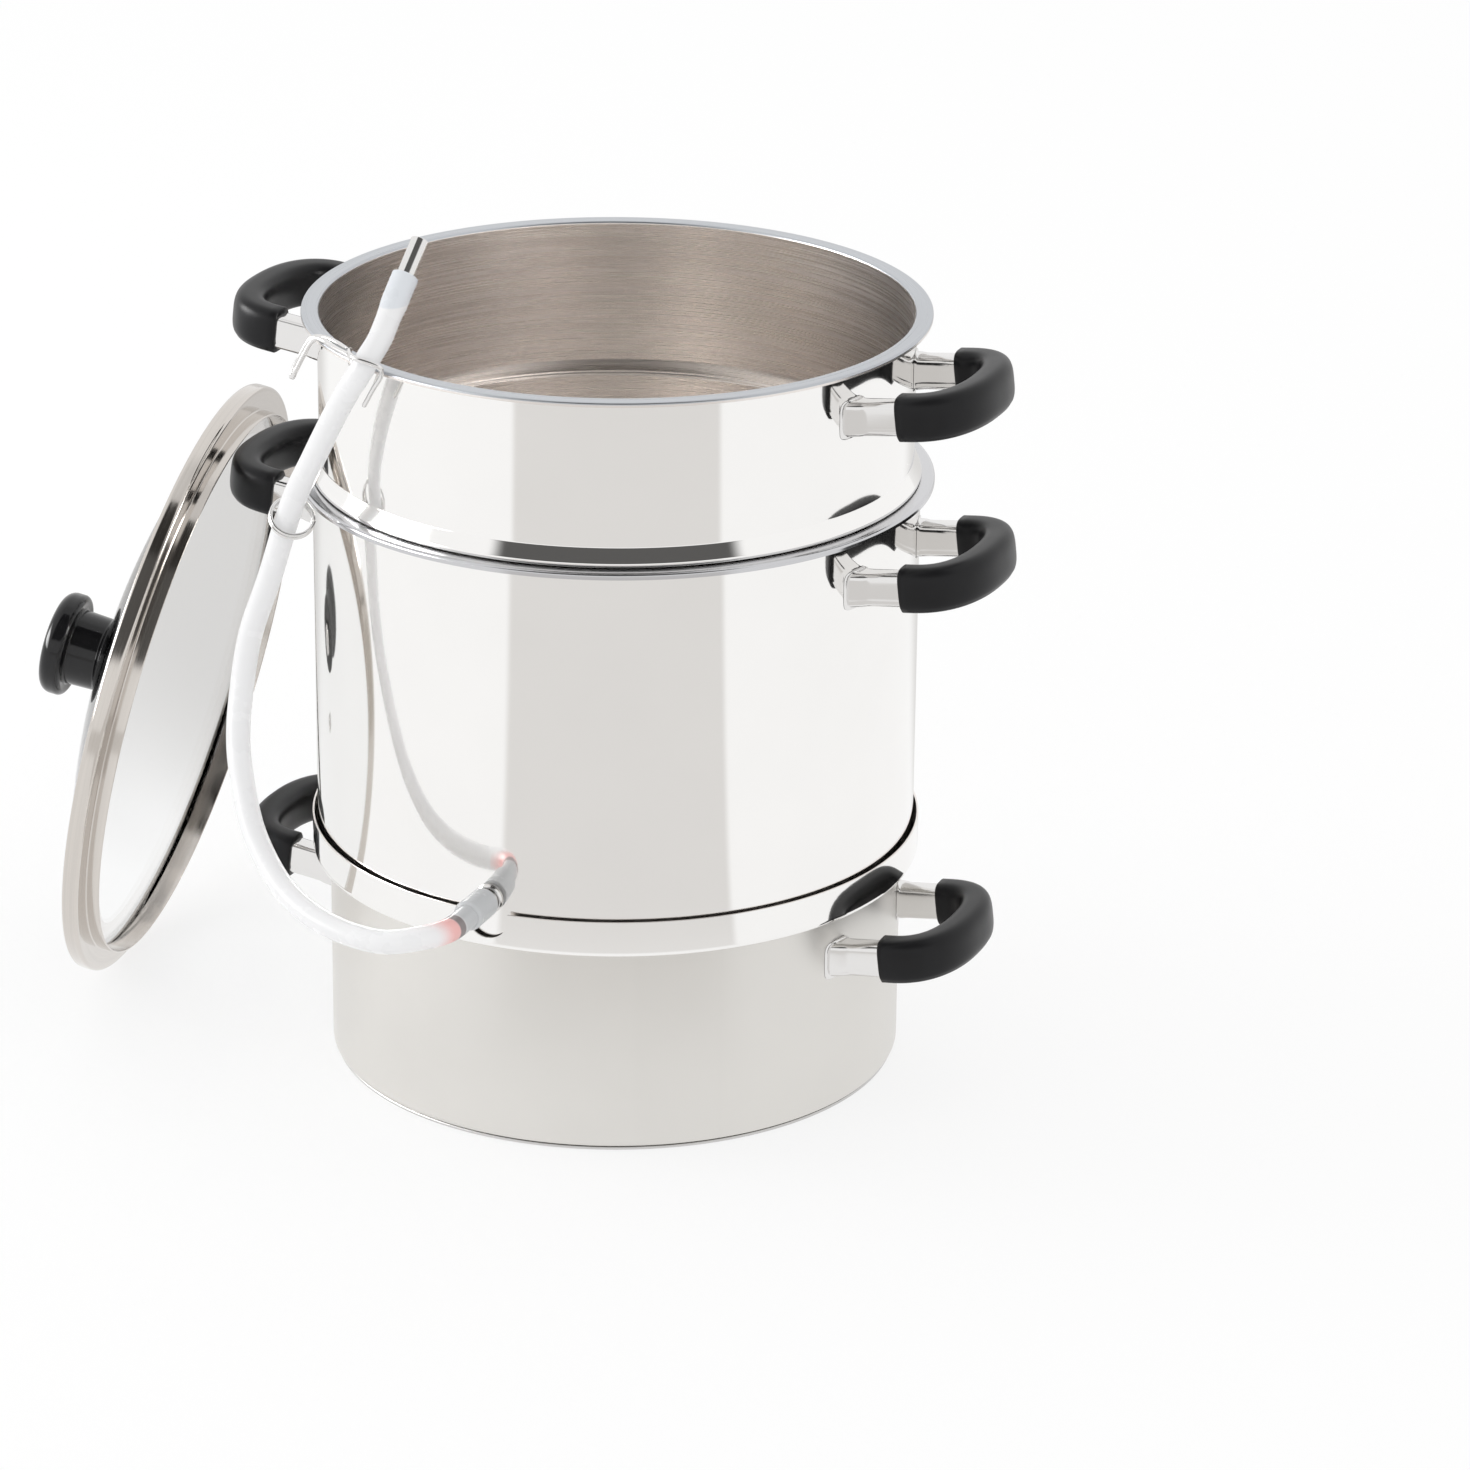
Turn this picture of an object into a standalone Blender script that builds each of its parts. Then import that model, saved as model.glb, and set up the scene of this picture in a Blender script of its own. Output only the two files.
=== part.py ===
"""Steam juicer: water pot, juice pan with spout and hose, fruit basket, and a glass lid leaning on a handle.

Metres, +Z up. The origin is the centre of the water pot's underside. The handles lie along X and the
spout points to -Y.
"""

import math

import bmesh
import bpy
from mathutils import Matrix, Vector

# Clearances and sheet
GAP = 0.0003
SHEET = 0.0008
OVERRUN = 0.005
MERGE = 0.00001

# Turning resolution
VESSEL_STEPS = 40
SMALL_STEPS = 12
KNOB_STEPS = 28
FILLET_STEPS = 2
FINE_FILLET = 0.0020

# Water pot
POT_RADIUS = 0.1278
POT_CORNER = 0.0022
POT_SHOULDER_HEIGHT = 0.0945
COLLAR_RADIUS = 0.1356
COLLAR_HEIGHT = 0.0167
COLLAR_CORNER = 0.0018
SHOULDER_ROUND = 0.0012
BASE_PLATE_RADIUS = 0.1264
BASE_PLATE_THICKNESS = 0.0014
BASE_PLATE_EDGE = 0.0004

# Juice pan
PAN_RADIUS = 0.1332
PAN_CORNER = 0.0030
PAN_HEIGHT = 0.1749
PAN_LIP_WIDTH = 0.0061
PAN_LIP_DROP = 0.0027
LIP_ROUND = 0.0012
CONE_BASE_RADIUS = 0.0500
CONE_TOP_RADIUS = 0.0260
CONE_HEIGHT = 0.0900
CONE_FLANGE = 0.0080
CONE_EDGE = 0.0020

# Fruit basket
BASKET_RADIUS = 0.1302
BASKET_ABOVE_PAN = 0.0740
BASKET_BELOW_PAN = 0.0660
BASKET_CORNER = 0.0100
BASKET_LIP_WIDTH = 0.0069
BASKET_LIP_DROP = 0.0020
BEAD_RADIUS = 0.1336
BEAD_FACE = 0.0010
BEAD_SLOPE = 0.0062
HOLE_RADIUS = 0.0026
HOLE_PITCH = 0.0210
HOLE_RINGS = 4
HOLE_SIDES = 6

# Spout and its notch in the collar
SPOUT_HEIGHT = 0.1166
SPOUT_RADIUS = 0.0042
SPOUT_BORE = 0.0031
SPOUT_INSIDE = 0.0030
SPOUT_NECK_RADIUS = 0.0052
SPOUT_NECK_LENGTH = 0.0085
SPOUT_FLANGE_RADIUS = 0.0066
SPOUT_FLANGE_THICKNESS = 0.0014
NOTCH_RADIUS = 0.0095
NOTCH_DEPTH = 0.0120

# Side handles
LEG_OFFSET = 0.0350
HANDLE_RISE = math.radians(6.9)
POT_HANDLE_DROP = 0.0217
PAN_HANDLE_DROP = 0.0251
BASKET_HANDLE_DROP = 0.0231
FOOT_RADIUS = 0.0088
FOOT_LENGTH = 0.0050
FOOT_NECK_RADIUS = 0.0062
FOOT_BURY = 0.0070
STUD_RADIUS = 0.0030
STUD_IN_GRIP = 0.0080
LEG_LENGTH = 0.0205
SLEEVE_HALF_WIDTH = 0.0056
SLEEVE_HALF_HEIGHT = 0.0076
SLEEVE_ROUND = 0.0028
GRIP_REACH = 0.0535
GRIP_LEAD = 0.0040
GRIP_HALF_THICKNESS = 0.0072
GRIP_HALF_HEIGHT = 0.0100
GRIP_ROUND = 0.0052
GRIP_POINTS = 13
GRIP_SQUARENESS = 2.4

# Hose, outlet tube, clip and clamp
HOSE_RADIUS = 0.00525
HOSE_POINTS = 62
OUTLET_RADIUS = 0.0040
OUTLET_BORE = 0.0033
OUTLET_LENGTH = 0.0170
CLIP_WIRE = 0.0011
CLIP_POINTS = 60
CLIP_LEG_LENGTH = 0.0190
CLAMP_WIRE = 0.0008
CLAMP_RADIUS = 0.0094
CLAMP_PITCH = 0.0024
CLAMP_TURNS = 2
CLAMP_TILT = math.radians(41.3)
CLAMP_FACING = math.radians(24)
CLAMP_SHIFT = 0.0019
CLAMP_PLACE_SHARE = 0.679
CLAMP_POINTS = 32

# Lid
LID_OVERHANG = 0.0108
LID_SKIRT_CLEARANCE = 0.0002
LID_SKIRT_DEPTH = 0.0063
LID_BAND_HEIGHT = 0.0077
LID_BAND_ROUND = 0.0016
LID_BAND_COVER = 0.0090
GLASS_THICKNESS = 0.0040
GLASS_RISE = 0.0270
LID_YAW = math.radians(10.7)
LID_MOST_LEAN = math.radians(30)
LID_FOOT_OUT = 0.0228
KNOB_CAP_RADIUS = 0.0240
KNOB_CAP_HEIGHT = 0.0120
KNOB_STEM_RADIUS = 0.0172
KNOB_STEM_HEIGHT = 0.0150
KNOB_BASE_RADIUS = 0.0205
KNOB_BASE_HEIGHT = 0.0030
KNOB_SEAT_RADIUS = 0.0200
KNOB_SEAT_THICKNESS = 0.0015
SCREW_RADIUS = 0.0022
SCREW_HEAD_RADIUS = 0.0085
SCREW_HEAD_HEIGHT = 0.0022
SCREW_IN_KNOB = 0.0110
VENT_PLACE = 0.0450
VENT_BORE = 0.0020
VENT_TUBE_RADIUS = 0.0029
VENT_FLANGE_RADIUS = 0.0046
VENT_FLANGE_THICKNESS = 0.0007

# Points that the hose passes, chosen by hand from the spout to its upper end
HOSE_ROUTE = [
    (0.0000, -0.1570, 0.1166),
    (-0.0010, -0.1700, 0.1162),
    (-0.0082, -0.1788, 0.1150),
    (-0.0249, -0.1840, 0.1119),
    (-0.0452, -0.1821, 0.1123),
    (-0.0646, -0.1765, 0.1157),
    (-0.0827, -0.1682, 0.1234),
    (-0.0990, -0.1579, 0.1379),
    (-0.1088, -0.1491, 0.1548),
    (-0.1152, -0.1411, 0.1739),
    (-0.1169, -0.1335, 0.1950),
    (-0.1150, -0.1280, 0.2180),
    (-0.1068, -0.1244, 0.2448),
    (-0.0981, -0.1195, 0.2772),
    (-0.0871, -0.1212, 0.2988),
    (-0.0741, -0.1258, 0.3217),
    (-0.0660, -0.1290, 0.3345),
    (-0.0600, -0.1308, 0.3430),
    (-0.0566, -0.1285, 0.3500),
    (-0.0552, -0.1210, 0.3556),
    (-0.0551, -0.1139, 0.3615),
    (-0.0548, -0.1050, 0.3700),
    (-0.0540, -0.0980, 0.3775),
]

# Heights and radii that follow from the sizes above
POT_WALL_BORE = POT_RADIUS - SHEET
COLLAR_BORE = COLLAR_RADIUS - SHEET
POT_FLOOR = BASE_PLATE_THICKNESS + GAP + SHEET
LEDGE_TOP = POT_SHOULDER_HEIGHT + SHEET
POT_RIM = POT_SHOULDER_HEIGHT + COLLAR_HEIGHT
PAN_UNDERSIDE = LEDGE_TOP + GAP
PAN_FLOOR = PAN_UNDERSIDE + SHEET
PAN_RIM = PAN_UNDERSIDE + PAN_HEIGHT
PAN_BORE = PAN_RADIUS - SHEET
PAN_LIP_RADIUS = PAN_RADIUS + PAN_LIP_WIDTH
BASKET_RIM = PAN_RIM + BASKET_ABOVE_PAN
BASKET_BORE = BASKET_RADIUS - SHEET
BASKET_UNDERSIDE = PAN_RIM - BASKET_BELOW_PAN
BASKET_FLOOR = BASKET_UNDERSIDE + SHEET
BASKET_LIP_RADIUS = BASKET_RADIUS + BASKET_LIP_WIDTH
BEAD_BOTTOM = PAN_RIM + GAP + SHEET
BEAD_TOP = BEAD_BOTTOM + BEAD_FACE
SKIRT_RADIUS = BASKET_BORE - LID_SKIRT_CLEARANCE
LID_RADIUS = SKIRT_RADIUS + LID_OVERHANG
POT_HANDLE_HEIGHT = POT_SHOULDER_HEIGHT - POT_HANDLE_DROP
PAN_HANDLE_HEIGHT = PAN_RIM - PAN_HANDLE_DROP
BASKET_HANDLE_HEIGHT = BASKET_RIM - BASKET_HANDLE_DROP

for old in list(bpy.data.objects):
    bpy.data.objects.remove(old, do_unlink=True)

scene = bpy.context.scene
juicer = bpy.data.collections.new("steam_juicer")
cutters = bpy.data.collections.new("cutters")
scene.collection.children.link(juicer)
scene.collection.children.link(cutters)

# Colour, roughness and metallic value of each finish
POLISHED_STEEL = ((0.83, 0.82, 0.80), 0.06, 1.0)
SATIN_STEEL = ((0.72, 0.72, 0.71), 0.28, 1.0)
WIRE_STEEL = ((0.80, 0.80, 0.80), 0.12, 1.0)
BLACK_PHENOLIC = ((0.013, 0.013, 0.014), 0.42, 0.0)
BLACK_GLOSS = ((0.010, 0.010, 0.011), 0.12, 0.0)
BLACK_RUBBER = ((0.020, 0.020, 0.020), 0.70, 0.0)
CLEAR_GLASS = ((0.92, 0.94, 0.94), 0.02, 0.0)
SILICONE = ((0.90, 0.91, 0.92), 0.35, 0.0)


def finish(obj, look):
    """Gives the object its own material."""
    colour, roughness, metallic = look
    material = bpy.data.materials.new(obj.name + "_finish")
    material.use_nodes = True
    shader = material.node_tree.nodes["Principled BSDF"]
    shader.inputs["Base Color"].default_value = (*colour, 1.0)
    shader.inputs["Roughness"].default_value = roughness
    shader.inputs["Metallic"].default_value = metallic
    material.diffuse_color = (*colour, 1.0)
    obj.data.materials.append(material)


def place(obj, look=None, matrix=None, parent=None):
    """Links a part, or a cutter when it has no look."""
    if look is None:
        cutters.objects.link(obj)
        obj.hide_render = True
        obj.display_type = "WIRE"
    else:
        juicer.objects.link(obj)
        finish(obj, look)
    if parent is not None:
        obj.parent = parent
    if matrix is not None:
        obj.matrix_basis = matrix
    return obj


def carrier(name, matrix=None):
    """An empty on a joint's axis that carries the pieces of one moving body."""
    empty = bpy.data.objects.new(name, None)
    juicer.objects.link(empty)
    if matrix is not None:
        empty.matrix_basis = matrix
    return empty


def rounded(path):
    """Turns (radius, height, fillet) corners into a list of (radius, height) points."""
    points = []
    for index, (r, z, fillet) in enumerate(path):
        if not fillet or index in (0, len(path) - 1):
            points.append((r, z))
            continue
        corner = Vector((r, z))
        before = Vector(path[index - 1][:2]) - corner
        after = Vector(path[index + 1][:2]) - corner
        half = before.angle(after) / 2
        reach = min(fillet / math.tan(half), before.length / 2, after.length / 2)
        radius = reach * math.tan(half)
        centre = corner + (before.normalized() + after.normalized()).normalized() * radius / math.sin(half)
        start = corner + before.normalized() * reach - centre
        end = corner + after.normalized() * reach - centre
        sweep = start.angle_signed(end)
        steps = FILLET_STEPS if radius > FINE_FILLET else 1
        for step in range(steps + 1):
            turn = Matrix.Rotation(-sweep * step / steps, 2)
            points.append(tuple(centre + turn @ start))
    return points


def turned(name, points, look=None, steps=VESSEL_STEPS, closed=False, wall=0.0, matrix=None, parent=None):
    """Turns a profile of (radius, height) points round Z. A wall makes a sheet of it."""
    mesh = bpy.data.meshes.new(name)
    edges = [(i, i + 1) for i in range(len(points) - 1)]
    if closed:
        edges.append((len(points) - 1, 0))
    mesh.from_pydata([(r, 0.0, z) for r, z in points], edges, [])
    obj = bpy.data.objects.new(name, mesh)
    place(obj, look, matrix, parent)
    screw = obj.modifiers.new("turn", "SCREW")
    screw.axis = "Z"
    screw.steps = steps
    screw.render_steps = steps
    screw.use_merge_vertices = True
    screw.merge_threshold = MERGE
    screw.use_smooth_shade = True
    if wall:
        sheet = obj.modifiers.new("sheet", "SOLIDIFY")
        sheet.thickness = wall
        sheet.offset = 1.0
        sheet.use_even_offset = True
    return obj


def cut(obj, cutter):
    """Takes the cutter's shape out of the object."""
    modifier = obj.modifiers.new("cut " + cutter.name, "BOOLEAN")
    modifier.operation = "DIFFERENCE"
    modifier.solver = "EXACT"
    modifier.object = cutter


def rod(name, radius, start, length, direction, sides=SMALL_STEPS):
    """A plain cylinder used as a cutter, from a start point along a direction."""
    axis = Vector(direction).normalized()
    turn = axis.to_track_quat("Z", "Y").to_matrix().to_4x4()
    points = [(0.0, length), (radius, length), (radius, 0.0), (0.0, 0.0)]
    return turned(name, points, steps=sides, matrix=Matrix.Translation(start) @ turn)


def smooth_path(points, count):
    """Evenly spaced points on a Catmull-Rom curve through the given ones."""
    knots = [Vector(p) for p in points]
    knots = [2 * knots[0] - knots[1]] + knots + [2 * knots[-1] - knots[-2]]
    fine = []
    for i in range(1, len(knots) - 2):
        a, b, c, d = knots[i - 1 : i + 3]
        for step in range(count):
            t = step / count
            bend = (2 * a - 5 * b + 4 * c - d) * t**2
            twist = (3 * b - a - 3 * c + d) * t**3
            fine.append((2 * b + (c - a) * t + bend + twist) / 2)
    fine.append(knots[-2])
    run = [0.0]
    for p, q in zip(fine, fine[1:]):
        run.append(run[-1] + (q - p).length)
    out = []
    at = 0
    for step in range(count):
        want = run[-1] * step / (count - 1)
        while at < len(run) - 2 and run[at + 1] < want:
            at += 1
        share = (want - run[at]) / (run[at + 1] - run[at])
        out.append(fine[at].lerp(fine[at + 1], min(share, 1.0)))
    return out


def wire(name, points, radius, look, resolution=2, parent=None):
    """A round wire or hose along the points, with closed ends."""
    curve = bpy.data.curves.new(name, "CURVE")
    curve.dimensions = "3D"
    curve.bevel_depth = radius
    curve.bevel_resolution = resolution
    curve.use_fill_caps = True
    curve.twist_mode = "MINIMUM"
    spline = curve.splines.new("POLY")
    spline.points.add(len(points) - 1)
    for point, place_at in zip(spline.points, points):
        point.co = (*place_at, 1.0)
    spline.use_smooth = True
    obj = bpy.data.objects.new(name, curve)
    return place(obj, look, parent=parent)


def mesh_of(obj):
    """The curve object's shape as a welded mesh. The curve object is removed."""
    graph = bpy.context.evaluated_depsgraph_get()
    graph.update()
    mesh = bpy.data.meshes.new_from_object(obj.evaluated_get(graph))
    work = bmesh.new()
    work.from_mesh(mesh)
    bmesh.ops.remove_doubles(work, verts=work.verts, dist=MERGE)
    bmesh.ops.holes_fill(work, edges=work.edges)
    bmesh.ops.recalc_face_normals(work, faces=work.faces)
    work.to_mesh(mesh)
    work.free()
    bpy.data.objects.remove(obj, do_unlink=True)
    return mesh


def plate(name, outlines, half_thickness):
    """Flat outlines given a thickness, as a mesh. An outline inside another is a hole."""
    curve = bpy.data.curves.new(name, "CURVE")
    curve.dimensions = "2D"
    curve.fill_mode = "BOTH"
    curve.extrude = half_thickness
    for outline in outlines:
        spline = curve.splines.new("POLY")
        spline.points.add(len(outline) - 1)
        for point, (x, y) in zip(spline.points, outline):
            point.co = (x, y, 0.0, 1.0)
        spline.use_cyclic_u = True
    return mesh_of(place(bpy.data.objects.new(name, curve)))


def circle(radius, count=SMALL_STEPS):
    """Points of a circle."""
    return [
        (radius * math.cos(2 * math.pi * k / count), radius * math.sin(2 * math.pi * k / count))
        for k in range(count)
    ]


def rounded_box(half_width, half_height, corner, steps=2):
    """Points of a rectangle with round corners."""
    points = []
    for quarter, (x, y) in enumerate(((1, 1), (-1, 1), (-1, -1), (1, -1))):
        for k in range(steps + 1):
            turn = math.pi / 2 * (quarter + k / steps)
            across = x * (half_width - corner) + corner * math.cos(turn)
            points.append((across, y * (half_height - corner) + corner * math.sin(turn)))
    return points


# Bodies that move
pan_lift = carrier("juice_pan_lift")
basket_lift = carrier("basket_lift")
basket_lift.parent = pan_lift

# Water pot: each vessel's profile is the inner face of its sheet, and the sheet lies outside it
pot_path = [
    (COLLAR_BORE, POT_RIM, 0.0),
    (COLLAR_BORE, LEDGE_TOP, COLLAR_CORNER),
    (POT_WALL_BORE, LEDGE_TOP, SHOULDER_ROUND),
    (POT_WALL_BORE, POT_FLOOR, POT_CORNER - SHEET),
    (0.0, POT_FLOOR, 0.0),
]
water_pot = turned("water_pot_body", rounded(pot_path), SATIN_STEEL, wall=SHEET)

notch_centre = POT_RIM - NOTCH_DEPTH + NOTCH_RADIUS
notch_outline = [
    (-NOTCH_RADIUS * math.cos(math.pi * k / SMALL_STEPS), -NOTCH_RADIUS * math.sin(math.pi * k / SMALL_STEPS))
    for k in range(SMALL_STEPS + 1)
]
notch_outline += [(NOTCH_RADIUS, NOTCH_DEPTH), (-NOTCH_RADIUS, NOTCH_DEPTH)]
notch_mesh = plate("notch_plate", [notch_outline], OVERRUN)
notch_matrix = Matrix.Translation((0.0, -COLLAR_BORE, notch_centre)) @ Matrix.Rotation(math.pi / 2, 4, "X")
cut(water_pot, place(bpy.data.objects.new("notch_cutter", notch_mesh), matrix=notch_matrix))

base_path = [
    (0.0, BASE_PLATE_THICKNESS, 0.0),
    (BASE_PLATE_RADIUS, BASE_PLATE_THICKNESS, BASE_PLATE_EDGE),
    (BASE_PLATE_RADIUS, 0.0, BASE_PLATE_EDGE),
    (0.0, 0.0, 0.0),
]
turned("water_pot_base_plate", rounded(base_path), SATIN_STEEL)

# Juice pan, its steam cone and its spout
pan_path = [
    (PAN_LIP_RADIUS, PAN_RIM - PAN_LIP_DROP, 0.0),
    (PAN_LIP_RADIUS, PAN_RIM, LIP_ROUND),
    (PAN_BORE, PAN_RIM, LIP_ROUND),
    (PAN_BORE, PAN_FLOOR, PAN_CORNER - SHEET),
    (CONE_BASE_RADIUS, PAN_FLOOR, 0.0),
]
juice_pan = turned("juice_pan_body", rounded(pan_path), POLISHED_STEEL, wall=SHEET, parent=pan_lift)
spout_hole = rod(
    "spout_hole_cutter",
    SPOUT_RADIUS + GAP,
    (0.0, OVERRUN - PAN_BORE, SPOUT_HEIGHT),
    2 * OVERRUN,
    (0.0, -1.0, 0.0),
)
cut(juice_pan, spout_hole)

cone_foot = PAN_FLOOR + GAP
cone_path = [
    (CONE_TOP_RADIUS, cone_foot + CONE_HEIGHT, 0.0),
    (CONE_BASE_RADIUS - CONE_EDGE, cone_foot, CONE_EDGE),
    (CONE_BASE_RADIUS + CONE_FLANGE, cone_foot, 0.0),
]
turned("steam_cone", rounded(cone_path), SATIN_STEEL, steps=KNOB_STEPS, wall=SHEET, parent=pan_lift)

spout_root = PAN_BORE - SPOUT_INSIDE
flange_face = PAN_RADIUS + GAP
neck_root = flange_face + SPOUT_FLANGE_THICKNESS + GAP
spout_tip = neck_root + SPOUT_NECK_LENGTH
spout_matrix = Matrix.Translation((0.0, 0.0, SPOUT_HEIGHT)) @ Matrix.Rotation(math.pi / 2, 4, "X")
spout_path = [
    (SPOUT_NECK_RADIUS, spout_tip, LIP_ROUND / 2),
    (SPOUT_NECK_RADIUS, neck_root, 0.0),
    (SPOUT_RADIUS, neck_root, 0.0),
    (SPOUT_RADIUS, spout_root, 0.0),
    (SPOUT_BORE, spout_root, 0.0),
    (SPOUT_BORE, spout_tip, 0.0),
]
turned(
    "spout_tube",
    [(r, z) for r, z, _ in spout_path],
    POLISHED_STEEL,
    steps=SMALL_STEPS,
    closed=True,
    matrix=spout_matrix,
    parent=pan_lift,
)
flange_path = [
    (SPOUT_FLANGE_RADIUS - SPOUT_FLANGE_THICKNESS / 2, flange_face + SPOUT_FLANGE_THICKNESS),
    (SPOUT_FLANGE_RADIUS, flange_face + SPOUT_FLANGE_THICKNESS / 2),
    (SPOUT_FLANGE_RADIUS, flange_face),
    (SPOUT_RADIUS + GAP, flange_face),
    (SPOUT_RADIUS + GAP, flange_face + SPOUT_FLANGE_THICKNESS),
]
turned(
    "spout_flange",
    flange_path,
    POLISHED_STEEL,
    steps=SMALL_STEPS,
    closed=True,
    matrix=spout_matrix,
    parent=pan_lift,
)

# Fruit basket with its seating bead and perforated floor
basket_path = [
    (BASKET_LIP_RADIUS, BASKET_RIM - BASKET_LIP_DROP, 0.0),
    (BASKET_LIP_RADIUS, BASKET_RIM, LIP_ROUND),
    (BASKET_BORE, BASKET_RIM, LIP_ROUND),
    (BASKET_BORE, BEAD_TOP + BEAD_SLOPE, 0.0),
    (BEAD_RADIUS - SHEET, BEAD_TOP, 0.0),
    (BEAD_RADIUS - SHEET, BEAD_BOTTOM, 0.0),
    (BASKET_BORE, BEAD_BOTTOM, 0.0),
    (BASKET_BORE, BASKET_FLOOR, BASKET_CORNER),
    (0.0, BASKET_FLOOR, 0.0),
]
basket = turned("basket_body", rounded(basket_path), POLISHED_STEEL, wall=SHEET, parent=basket_lift)
hole_mesh = bpy.data.meshes.new("steam_holes_cutter")
holes = bmesh.new()
hole_places = [(0.0, 0.0)]
for ring in range(1, HOLE_RINGS + 1):
    for k in range(6 * ring):
        turn = 2 * math.pi * (k + ring / 2) / (6 * ring)
        hole_places.append((ring * HOLE_PITCH * math.cos(turn), ring * HOLE_PITCH * math.sin(turn)))
for x, y in hole_places:
    bmesh.ops.create_cone(
        holes,
        cap_ends=True,
        segments=HOLE_SIDES,
        radius1=HOLE_RADIUS,
        radius2=HOLE_RADIUS,
        depth=OVERRUN,
        matrix=Matrix.Translation((x, y, BASKET_UNDERSIDE)),
    )
holes.to_mesh(hole_mesh)
holes.free()
cut(basket, place(bpy.data.objects.new("steam_holes_cutter", hole_mesh)))


# Side handles
def grip_mesh():
    """The C-shaped grip, in the frame of its handle: X out along the legs, Y across, Z up."""
    root = LEG_LENGTH + GAP
    reach = GRIP_REACH - GRIP_HALF_THICKNESS - root - GRIP_LEAD
    bow = []
    for k in range(2 * GRIP_POINTS + 1):
        turn = math.pi * (k / (2 * GRIP_POINTS) - 0.5)
        out = abs(math.cos(turn)) ** (2 / GRIP_SQUARENESS)
        side = math.copysign(abs(math.sin(turn)) ** (2 / GRIP_SQUARENESS), math.sin(turn))
        bow.append((root + GRIP_LEAD + reach * out, LEG_OFFSET * side, 0.0))
    ends = [Vector((root, end * LEG_OFFSET, 0.0)) for end in (-1, 1)]
    path = ends[:1] + smooth_path(bow, GRIP_POINTS) + ends[1:]
    section = bpy.data.curves.new("grip_section", "CURVE")
    outline = rounded_box(GRIP_HALF_THICKNESS, GRIP_HALF_HEIGHT, GRIP_ROUND)
    spline = section.splines.new("POLY")
    spline.points.add(len(outline) - 1)
    for point, (x, y) in zip(spline.points, outline):
        point.co = (x, y, 0.0, 1.0)
    spline.use_cyclic_u = True
    profile = place(bpy.data.objects.new("grip_section", section))
    guide = wire("grip_guide", path, 0.0, None)
    guide.data.bevel_mode = "OBJECT"
    guide.data.bevel_object = profile
    return mesh_of(guide)


def handle(vessel, radius, height, side, parent, grip):
    """One handle: two welded feet with studs, two sleeves and the grip. Returns the grip's points."""
    label = f"{vessel}_{'right' if side > 0 else 'left'}"
    root = math.sqrt(radius**2 - LEG_OFFSET**2)
    frame = (
        Matrix.Rotation(0.0 if side > 0 else math.pi, 4, "Z")
        @ Matrix.Translation((root, 0.0, height))
        @ Matrix.Rotation(-HANDLE_RISE, 4, "Y")
    )
    top = height + FOOT_RADIUS + FOOT_BURY
    low = height - FOOT_RADIUS - FOOT_BURY
    wall_path = [(0.0, top), (radius + GAP, top), (radius + GAP, low), (0.0, low)]
    wall = turned(f"{label}_wall_cutter", wall_path)
    mesh = grip.copy()
    mesh.name = f"{label}_grip"
    body = place(bpy.data.objects.new(f"{label}_grip", mesh), BLACK_PHENOLIC, frame, parent)
    for end in (-1, 1):
        where = f"{label}_{'front' if end * side < 0 else 'rear'}"
        leg = frame @ Matrix.Translation((0.0, end * LEG_OFFSET, 0.0)) @ Matrix.Rotation(math.pi / 2, 4, "Y")
        foot_path = [
            (0.0, LEG_LENGTH + STUD_IN_GRIP),
            (STUD_RADIUS, LEG_LENGTH + STUD_IN_GRIP),
            (STUD_RADIUS, FOOT_LENGTH),
            (FOOT_NECK_RADIUS, FOOT_LENGTH),
            ((FOOT_RADIUS + FOOT_NECK_RADIUS) / 2, FOOT_LENGTH / 2),
            (FOOT_RADIUS, 0.0),
            (FOOT_RADIUS, -FOOT_BURY),
            (0.0, -FOOT_BURY),
        ]
        bracket = turned(
            f"{where}_bracket",
            foot_path,
            POLISHED_STEEL,
            steps=SMALL_STEPS,
            matrix=leg,
            parent=parent,
        )
        cut(bracket, wall)
        sleeve = bpy.data.objects.new(f"{where}_ferrule", sleeve_mesh.copy())
        middle = (LEG_LENGTH + FOOT_LENGTH + GAP) / 2
        place(sleeve, POLISHED_STEEL, leg @ Matrix.Translation((0.0, 0.0, middle)), parent)
        socket = rod(
            f"{where}_socket_cutter",
            STUD_RADIUS + GAP,
            leg @ Vector((0.0, 0.0, LEG_LENGTH - OVERRUN)),
            STUD_IN_GRIP + OVERRUN + GAP,
            leg.to_3x3() @ Vector((0.0, 0.0, 1.0)),
        )
        cut(body, socket)
    return [frame @ v.co for v in mesh.vertices]


grip = grip_mesh()
sleeve_outline = rounded_box(SLEEVE_HALF_HEIGHT, SLEEVE_HALF_WIDTH, SLEEVE_ROUND)
sleeve_length = LEG_LENGTH - FOOT_LENGTH - GAP
sleeve_mesh = plate("sleeve_plate", [sleeve_outline, circle(STUD_RADIUS + GAP)], sleeve_length / 2)
left_grips = []
for vessel, radius, height, parent in (
    ("water_pot", POT_RADIUS, POT_HANDLE_HEIGHT, None),
    ("juice_pan", PAN_RADIUS, PAN_HANDLE_HEIGHT, pan_lift),
    ("basket", BASKET_RADIUS, BASKET_HANDLE_HEIGHT, basket_lift),
):
    handle(vessel, radius, height, 1, parent, grip)
    left_grips += handle(vessel, radius, height, -1, parent, grip)

# Hose from the spout, its outlet tube, the rim clip and the clamp ring
hose_points = smooth_path([(0.0, -spout_tip - GAP, SPOUT_HEIGHT)] + HOSE_ROUTE, HOSE_POINTS)
wire("hose", hose_points, HOSE_RADIUS, SILICONE, parent=pan_lift)

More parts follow.
